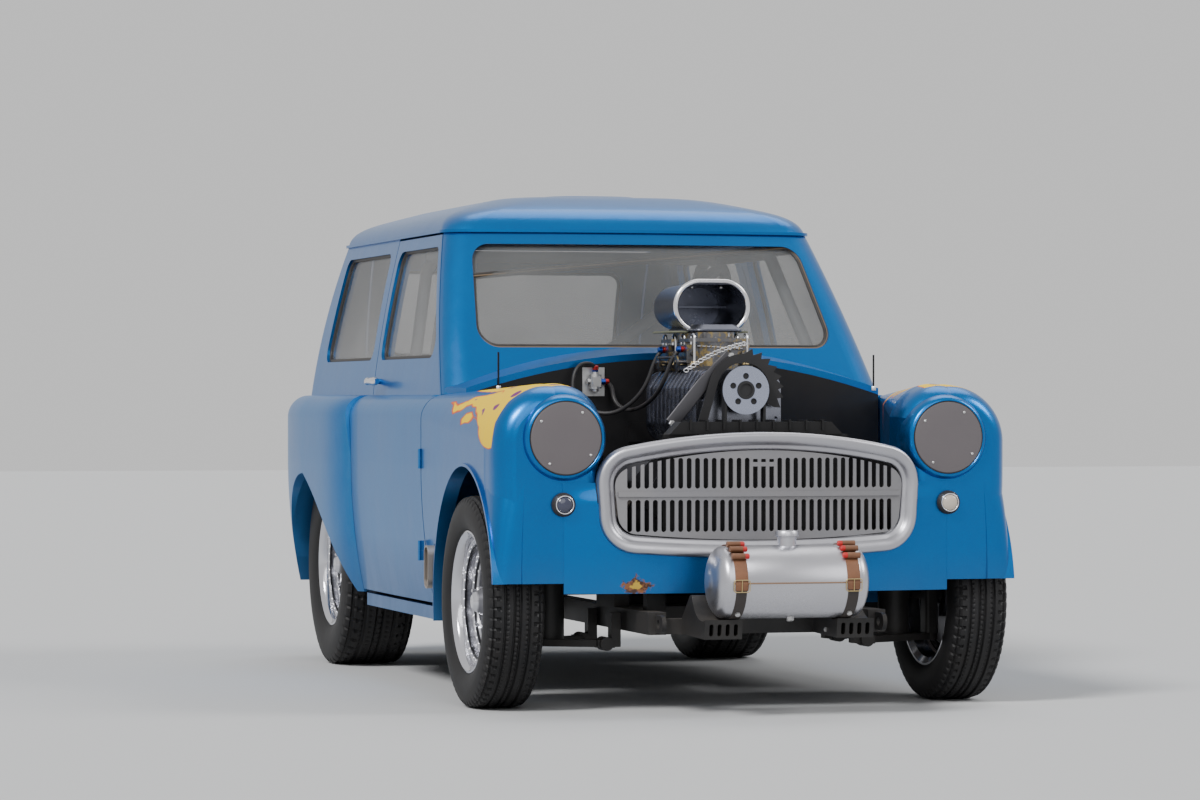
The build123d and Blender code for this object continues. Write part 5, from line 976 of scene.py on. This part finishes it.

# %% [markdown]
# The engine's frame pieces keep their shapes and get the fittings that make it look like a working one. The
# top pulley and the belt share one node, so its look is split by place: rubber behind the disc, and painted
# shade in the five recesses and in the hub. The recesses are found by folding the angle round the pulley into
# fifths. Lip and screws go on the scoop, a plate under it, then a strut, a chain, eight looped pipes and a
# rod.

# %% Pulley, blower and scoop
PULLEY_Z = 0.928
DISC_BACK_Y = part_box("blower_drive")[0][1] + 0.006
FIFTH = 2 * pi / 5
RECESS_RING = 0.0385
RECESS_RADIUS = 0.0070
HUB_SHADE = 0.0270
pulley_look = Look("pulley_and_belt_look")
height = pulley_look.z - PULLEY_Z
radius = (pulley_look.x * pulley_look.x + height * height).math("SQRT")
turn = height.math("ARCTAN2", pulley_look.x) / FIFTH + 5.25
fold = (turn.math("FRACT") - 0.5) * FIFTH
hole = ((radius - RECESS_RING).math("POWER", 2.0) + (radius * fold).math("POWER", 2.0)).math("SQRT")
# Painted shade: the five recesses and the hub are coloured near black. Behind the disc the same dark colour
# is the belt's rubber.
dark = (hole.below(RECESS_RADIUS, 0.006) * 0.9).math("MAXIMUM", radius.below(HUB_SHADE, 0.001))
dark = dark.math("MAXIMUM", pulley_look.y.above(DISC_BACK_Y, 0.001))
brushed = pulley_look.noise(90.0, 5.0, 0.7)
pulley_look.set(Base_Color=pulley_look.blend(dark, (0.40, 0.43, 0.54), (0.010, 0.010, 0.011)))
pulley_look.set(Metallic=dark * -1.0 + 1.0, Roughness=dark * 0.35 + brushed * 0.2 + 0.16)
pulley_look.bump(brushed, 0.1, 0.0005)
frame["nodes"]["blower_drive"].data.materials[0] = pulley_look.material

case_look = metal("blower_case_look", (0.26, 0.27, 0.32), 0.20, 60.0, 0.15)
frame["nodes"]["supercharger"].data.materials[0] = case_look
carb_look = Look("carburettor_zinc_look")
patches = carb_look.noise(55.0, 5.0, 0.7).above(0.56, 0.05)
grain = carb_look.noise(120.0, 5.0, 0.7)
carb_look.set(Base_Color=carb_look.blend(patches, (0.17, 0.17, 0.18), (0.36, 0.27, 0.12)), Metallic=1.0)
carb_look.set(Roughness=grain * 0.35 + 0.14)
carb_look.bump(grain, 0.15, 0.0006)
frame["nodes"]["carburettors"].data.materials[0] = carb_look.material

SCOOP_FACE_Y = -0.896
LIP_Z = 1.179
LIP_HALF = (half_of("air_scoop")[0], 0.0785)
LIP_THICK = 0.0075
LIP_SCREWS = ((-0.052, 1.236), (0.040, 1.236), (-0.048, 1.122), (0.044, 1.122))
PLATE_Y = -0.785
PLATE_ROWS = ((1.0, 1.1012), (1.0, 1.1052), (0.97, 1.1062))
STRUT_LINE = np.array([(-0.035, -1.2055, 1.028), (-0.120, -1.2055, 0.945), (-0.215, -1.2055, 0.830)])
LINKS = 17
LINK_LONG = 0.0072
LINK_TALL = (0.0052, 0.0036)
CHAIN_Y = -1.226
CHAIN_FROM = (-0.176, 0.985)
CHAIN_SPAN = (0.176, 0.078)
CHAIN_RISE = 0.012
PIPE_X = 0.082
PIPE_Y = (-0.980, -0.880, -0.786, -0.686)
PIPE_HALF = 0.016
PIPE_FOOT_Z = 1.010
PIPE_TOP_Z = 1.082
ROD = np.array([(-0.070, -0.985, 1.060), (0.070, -0.985, 1.052)])

fittings = Piece("engine_fittings")
turn = np.linspace(0, 2 * pi, 96, endpoint=False)
flat_half = LIP_HALF[0] - LIP_HALF[1]
lip_x = LIP_HALF[1] * np.cos(turn) + flat_half * np.sign(np.round(np.cos(turn), 6))
lip_z = LIP_Z + 0.955 * LIP_HALF[1] * np.sin(turn)
lip_line = np.stack([lip_x * 0.970, np.full(96, SCOOP_FACE_Y - 0.0055), lip_z], 1)
fittings.hoop(ring_outline(LIP_THICK, 12), lip_line, AHEAD)
for x, z in LIP_SCREWS:
    inward = 1 if z < LIP_Z else -1
    add_domes(fittings, (x, SCOOP_FACE_Y + 0.03, z), (0, -0.3, inward), 0.006, 0.004, 12, look=1)
flange = rounded_rectangle(0.250, 0.225, 0.03, 6)
plate = np.array([[(share * x, share * y + PLATE_Y, z) for x, y in flange] for share, z in PLATE_ROWS])
fittings.grid(plate, wrap_columns=True, caps=True, look=2)
fittings.bar(rounded_rectangle(0.040, 0.008, 0.003), STRUT_LINE, AHEAD, look=3)
for place in (STRUT_LINE[0], STRUT_LINE[2]):
    add_nuts(fittings, place + np.array([0, -0.004, 0]), AHEAD, 0.010, 0.008, look=1)
coarse = turn[::8]
for step, share in enumerate(np.linspace(0, 1, LINKS)):
    x = CHAIN_FROM[0] + CHAIN_SPAN[0] * share + LINK_LONG * np.cos(coarse)
    z = CHAIN_FROM[1] + CHAIN_SPAN[1] * share + CHAIN_RISE * np.sin(pi * share)
    ring = np.stack([x, np.full(12, CHAIN_Y), z + LINK_TALL[step % 2] * np.sin(coarse)], 1)
    fittings.hoop(ring_outline(0.0017, 6), ring, AHEAD)
bend = np.linspace(0, pi, 9)
for y in PIPE_Y:
    for x in (-PIPE_X, PIPE_X):
        line_y = np.r_[y + PIPE_HALF, y + PIPE_HALF * np.cos(bend), y - PIPE_HALF]
        line_z = np.r_[PIPE_FOOT_Z, PIPE_TOP_Z + 0.014 * np.sin(bend), PIPE_FOOT_Z]
        fittings.bar(ring_outline(0.0032, 8), np.stack([np.full(11, x), line_y, line_z], 1), (1, 0, 0))
        feet = [(x, y + PIPE_HALF, PIPE_FOOT_Z - 0.004), (x, y - PIPE_HALF, PIPE_FOOT_Z - 0.004)]
        add_nuts(fittings, feet, UP, 0.006, 0.008, look=4)
fittings.bar(ring_outline(0.0026, 8), ROD, UP)
for share in np.linspace(0.08, 0.92, 9):
    add_nuts(fittings, ROD[0] + share * (ROD[1] - ROD[0]), (1, 0, -0.057), 0.005, 0.004, look=4)
fittings.finish([chrome, bolt_steel, olive_plate, iron, brass], "body", angle=40)

# %% [markdown]
# Two braided hoses feed the carburettors from the pressure regulator. Each is a real cord: a smooth spline
# led by the same few points as its solid in the frame, with a round section of the hose's width. Red and blue
# fittings close both ends. They are short turned bodies on the line of the hose's first and last stretch.

# %% Fuel hoses
HOSE_WIDTH = 0.013
ROUTES = {
    "fuel_hose_rear": [
        (-0.262, -0.5393, 0.983), (-0.262, -0.5453, 1.013), (-0.332, -0.5553, 1.007),
        (-0.346, -0.5753, 0.895), (-0.242, -0.6253, 0.843), (-0.158, -0.715, 0.915),
        (-0.118, -0.733, 1.0503), (-0.096, -0.733, 1.0503)],
    "fuel_hose_front": [
        (-0.240, -0.5393, 0.955), (-0.210, -0.5413, 0.955), (-0.206, -0.5553, 0.885),
        (-0.170, -0.635, 0.860), (-0.160, -0.895, 0.915), (-0.122, -0.927, 1.0503),
        (-0.096, -0.927, 1.0503)],
}


def hose_curve(name, route):
    """A round hose along a quadratic NURBS spline that starts and ends on its first and last point."""
    curve = bpy.data.curves.new(name, "CURVE")
    curve.dimensions = "3D"
    curve.bevel_depth = HOSE_WIDTH / 2
    curve.bevel_resolution = 6
    curve.resolution_u = 16
    curve.use_fill_caps = True
    spline = curve.splines.new("NURBS")
    spline.points.add(len(route) - 1)
    for point, place in zip(spline.points, route):
        point.co = (*place, 1.0)
    spline.order_u = 3
    spline.use_endpoint_u = True
    curve.materials.append(hose_rubber)
    return placed(name, curve)


def route_length(piece):
    """Length of the hose's own line, read from a copy without its round section."""
    bare = piece.data.copy()
    bare.bevel_depth = 0.0
    holder = placed("bare_line", bare)
    mesh = bpy.data.meshes.new_from_object(holder)
    line = np.array([vert.co[:] for vert in mesh.vertices])
    bpy.data.objects.remove(holder)
    bpy.data.meshes.remove(mesh)
    return float(np.linalg.norm(np.diff(line, axis=0), axis=1).sum())


FITTING = [(-0.004, 0), (-0.004, 0.0095), (0.008, 0.0095), (0.009, 0.0082), (0.010, 0.0082), (0.010, 0)]
COLLAR = [(0.010, 0), (0.010, 0.0100), (0.020, 0.0092), (0.022, 0.0070), (0.022, 0)]
for node, route in ROUTES.items():
    piece = hose_curve(f"braided_{node}", route)
    ends = Piece(f"fittings_{node}")
    line = np.array(route)
    for place, onward, blue_first in ((line[0], line[1], 1), (line[-1], line[-2], 0)):
        along = unit(onward - place)
        ends.spin(FITTING, place, along, 24, look=blue_first)
        ends.spin(COLLAR, place, along, 24, look=1 - blue_first)
    rings = ends.finish([red_anodised, blue_anodised], "body", angle=40)
    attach(piece, "body")
    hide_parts(node)
    length = route_length(piece)
    print(node, "length", round(length, 3))

# %% [markdown]
# The seats are plain racing buckets: a thin shell with a crowned cushion on the base and another on the
# back. A cushion's plan is a superellipse. Its top swells towards the middle, its rim is round, and sewn
# channels run along it as shallow valleys. A pressure simulation would swell such a form only slightly, so
# the crown and the channels are given by the formula and one subdivision level smooths them.

# %% Seats
CHANNELS = (-0.5, -0.17, 0.17, 0.5)
CHANNEL_WIDTH = 0.006
CHANNEL_DEPTH = 0.006
SEAT_X = 0.375


def cushion(name, centre, across, along, half, crown, channels, materials):
    """Closed cushion. Its plan's radius is one over the fifth root of the fifth powers of cosine and sine,
    summed. Its height falls towards the rim, and rises by the crown, which is highest in the middle."""
    out = np.cross(across, along)
    rho = np.r_[np.linspace(0.02, 0.90, 22), 0.95, 0.985, 1.0, 0.985, 0.95, np.linspace(0.9, 0.02, 8)]
    level = np.r_[np.linspace(1, 0.72, 22), 0.62, 0.40, 0.0, -0.55, -0.85, np.full(8, -1.0)][:, None]
    turn = np.linspace(0, 2 * pi, 88, endpoint=False)
    plan = (np.abs(np.cos(turn)) ** 5 + np.abs(np.sin(turn)) ** 5) ** -0.2
    x = rho[:, None] * (plan * np.cos(turn))[None, :]
    y = rho[:, None] * (plan * np.sin(turn))[None, :]
    crown_x, crown_y = np.maximum(1 - x ** 2, 0), np.maximum(1 - y ** 2, 0)
    valley = sum(np.exp(-((x - place) * half[0] / CHANNEL_WIDTH) ** 2) for place in channels)
    lift = level * half[2] + crown * (level > 0) * crown_x * crown_y
    lift = lift - CHANNEL_DEPTH * valley * (level > 0.5)
    waist = 1 - 0.03 * np.cos(pi * x / 2) * (np.abs(level) < 0.9)
    points = centre + (x * half[0])[..., None] * across + (y * waist * half[1])[..., None] * along
    points = points + lift[..., None] * out
    piece = Piece(name)
    piece.grid(points, wrap_columns=True, caps=True)
    seat = piece.finish(materials, "body", ["seats"], angle=70)
    smooth = seat.modifiers.new("smooth", "SUBSURF")
    smooth.levels = 1
    smooth.render_levels = 1
    return seat


RIGHT = np.array([1.0, 0, 0])
LEVEL = np.array([0, 1.0, 0])
BACK_UP = unit(np.array([0, 0.095, 0.57]))
# Columns: part, (y, z), direction, half sizes, crown, channels, material, padding
SEAT_PARTS = (
    ("base", (0.270, 0.385), LEVEL, (0.178, 0.205, 0.040), 0.012, CHANNELS, black_vinyl, 0.75),
    ("pan", (0.276, 0.307), LEVEL, (0.196, 0.216, 0.036), 0.0, (), dash, 0),
    ("back", (0.500, 0.735), BACK_UP, (0.176, 0.250, 0.024), 0.010, CHANNELS, black_vinyl, 0.75),
    ("shell", (0.522, 0.729), BACK_UP, (0.196, 0.272, 0.018), 0.0, (), dash, 0),
)
for side, name in SIDES:
    for part, (y, z), along, half, crown, channels, material, fill in SEAT_PARTS:
        centre = np.array([side * SEAT_X, y, z])
        cushion(f"seat_{part}_{name}", centre, RIGHT, along, half, crown, channels, [material])

# %% [markdown]
# The last fittings are small: the fish-shaped door handles, the tailgate's grip with its latch, thin rods
# at the bulkhead, and bolts on the tank brackets. Each is a turned or swept surface. The grip follows the
# tailgate's face, which a ray finds at each place, and it stays within the car's length.

# %% Small fittings
HANDLE = (
    (-0.072, 0), (-0.070, 0.0075), (-0.050, 0.0128), (-0.020, 0.0140), (0.010, 0.0125), (0.038, 0.0108),
    (0.056, 0.0112), (0.064, 0.0125), (0.068, 0.0100), (0.069, 0),
)
for side, name in SIDES:
    handle = Piece(f"door_handle_{name}")
    handle.spin(HANDLE, (side * 0.742, 0.463, 0.960), (0, 1, 0), 32)
    handle.finish([chrome], f"door_{name}")

tail = Piece("tailgate_fittings")
tail_node = frame["nodes"]["tailgate"]


def on_tailgate(x, z):
    """The place on the tailgate's outer face at that width and height."""
    return np.array(tail_node.ray_cast(Vector((x, 3.0, z)), Vector((0.0, -1.0, 0.0)))[1])


GRIP_X = 0.30
GRIP_Z = 0.985
GRIP_HALF = 0.075
GRIP_THICK = 0.006
GRIP_RISE = 0.016
REAR_LIMIT = start_high[1] - 0.0005
grip = []
for share in np.linspace(0, pi, 13):
    place = on_tailgate(GRIP_X - GRIP_HALF * np.cos(share), GRIP_Z)
    place[1] = min(place[1] + GRIP_RISE * np.sin(share) ** 0.5 - 0.001, REAR_LIMIT - GRIP_THICK / 2)
    grip.append(place)
tail.bar(rounded_rectangle(GRIP_THICK, 0.014, 0.0025), grip, UP)
latch = on_tailgate(GRIP_X, GRIP_Z - 0.026)
latch_rise = min(0.004, REAR_LIMIT - latch[1])
add_domes(tail, latch - np.array([0, 0.0015, 0]), (0, 1, 0), 0.009, latch_rise, 16, look=1)
tail.finish([chrome, bolt_steel], "tailgate", angle=40)
print("tailgate grip", [round(float(v), 4) for v in (*grip[0], *grip[6])])

trim = Piece("bulkhead_fittings")
for x, low, high in ((-0.562, 0.930, 1.045), (0.645, 0.930, 1.040)):
    line = np.array([(x, -0.518, low), (x, -0.518, high)])
    trim.bar(ring_outline(0.0032, 8), line, (1, 0, 0))
    add_nuts(trim, line[0], UP, 0.008, 0.012, look=1)
for x in (-0.205, -0.140, 0.140, 0.205):
    add_nuts(trim, (x, -1.5605, 0.245), AHEAD, 0.008, 0.006, look=1)
trim.finish([bay_black, bolt_steel], "body", angle=40)

# %% [markdown]
# The picture is taken from low down off the car's right front corner through a long lens, so the camera
# stands thirteen metres away with its horizon at the lamps' height. Four broad suns and a plain pale world
# give studio light. The floor is a single sheet of nearly the same pale grey as the world behind it.

# %% Camera, floor and light
CAMERA_PLACE = (-3.662, -12.938, 0.899)
CAMERA_TURN = radians(15.4)
CAMERA_LENS = 126
CAMERA_SENSOR = 36
FLOOR_HALF = 40
FLOOR_GREY = (0.60, 0.60, 0.60, 1)
PALE = (0.735, 0.735, 0.735, 1)
SOFT_WHITE = (0.90, 0.95, 1.0, 1)
SOFT_STRENGTH = 0.28
# Columns: name, direction it shines from, power, breadth in degrees
LAMPS = (
    ("key", (-7.5, -5.5, 8.5), 3.0, 16),
    ("front", (-1.0, -9.0, 5.0), 0.6, 40),
    ("right", (8.0, -3.0, 6.0), 1.2, 24),
    ("rear", (3.0, 5.0, 9.0), 0.7, 40),
)
camera_data = bpy.data.cameras.new("camera")
camera_data.lens = CAMERA_LENS
camera_data.sensor_width = CAMERA_SENSOR
camera_data.clip_end = 200
camera = placed("camera", camera_data)
camera.location = CAMERA_PLACE
camera.rotation_euler = (pi / 2, 0, -CAMERA_TURN)
bpy.context.scene.camera = camera


def seen_ray(nodes, links):
    """1 for a ray straight from the camera, off a gloss or through glass, else 0."""
    path = nodes.new("ShaderNodeLightPath").outputs
    total = path["Is Camera Ray"]
    for name in ("Is Glossy Ray", "Is Transmission Ray"):
        step = nodes.new("ShaderNodeMath")
        step.operation = "MAXIMUM"
        links.new(path[name], step.inputs[0])
        links.new(total, step.inputs[1])
        total = step.outputs[0]
    return total


world = bpy.data.worlds.new("studio")
world.use_nodes = True
nodes, links = world.node_tree.nodes, world.node_tree.links
nodes.clear()
choice = nodes.new("ShaderNodeMixShader")
out = nodes.new("ShaderNodeOutputWorld")
links.new(seen_ray(nodes, links), choice.inputs[0])
for slot, colour, strength in ((1, SOFT_WHITE, SOFT_STRENGTH), (2, PALE, 1.0)):
    light = nodes.new("ShaderNodeBackground")
    light.inputs["Color"].default_value = colour
    light.inputs["Strength"].default_value = strength
    links.new(light.outputs[0], choice.inputs[slot])
links.new(choice.outputs[0], out.inputs["Surface"])
bpy.context.scene.world = world

floor_mesh = bpy.data.meshes.new("studio_floor")
corners = [(x * FLOOR_HALF, y * FLOOR_HALF, 0) for x, y in ((-1, -1), (1, -1), (1, 1), (-1, 1))]
floor_mesh.from_pydata(corners, [], [(0, 1, 2, 3)])
floor = placed("studio_floor", floor_mesh)
floor_look = Look("floor_grey")
floor_look.set(Base_Color=FLOOR_GREY, Roughness=0.95, Specular_IOR_Level=0.1)
floor_mesh.materials.append(floor_look.material)

for name, place, power, spread in LAMPS:
    lamp = bpy.data.lights.new(name, "SUN")
    lamp.angle = radians(spread)
    lamp.energy = power
    holder = placed(name, lamp)
    holder.location = place
    holder.rotation_euler = Vector(place).to_track_quat("Z", "Y").to_euler()
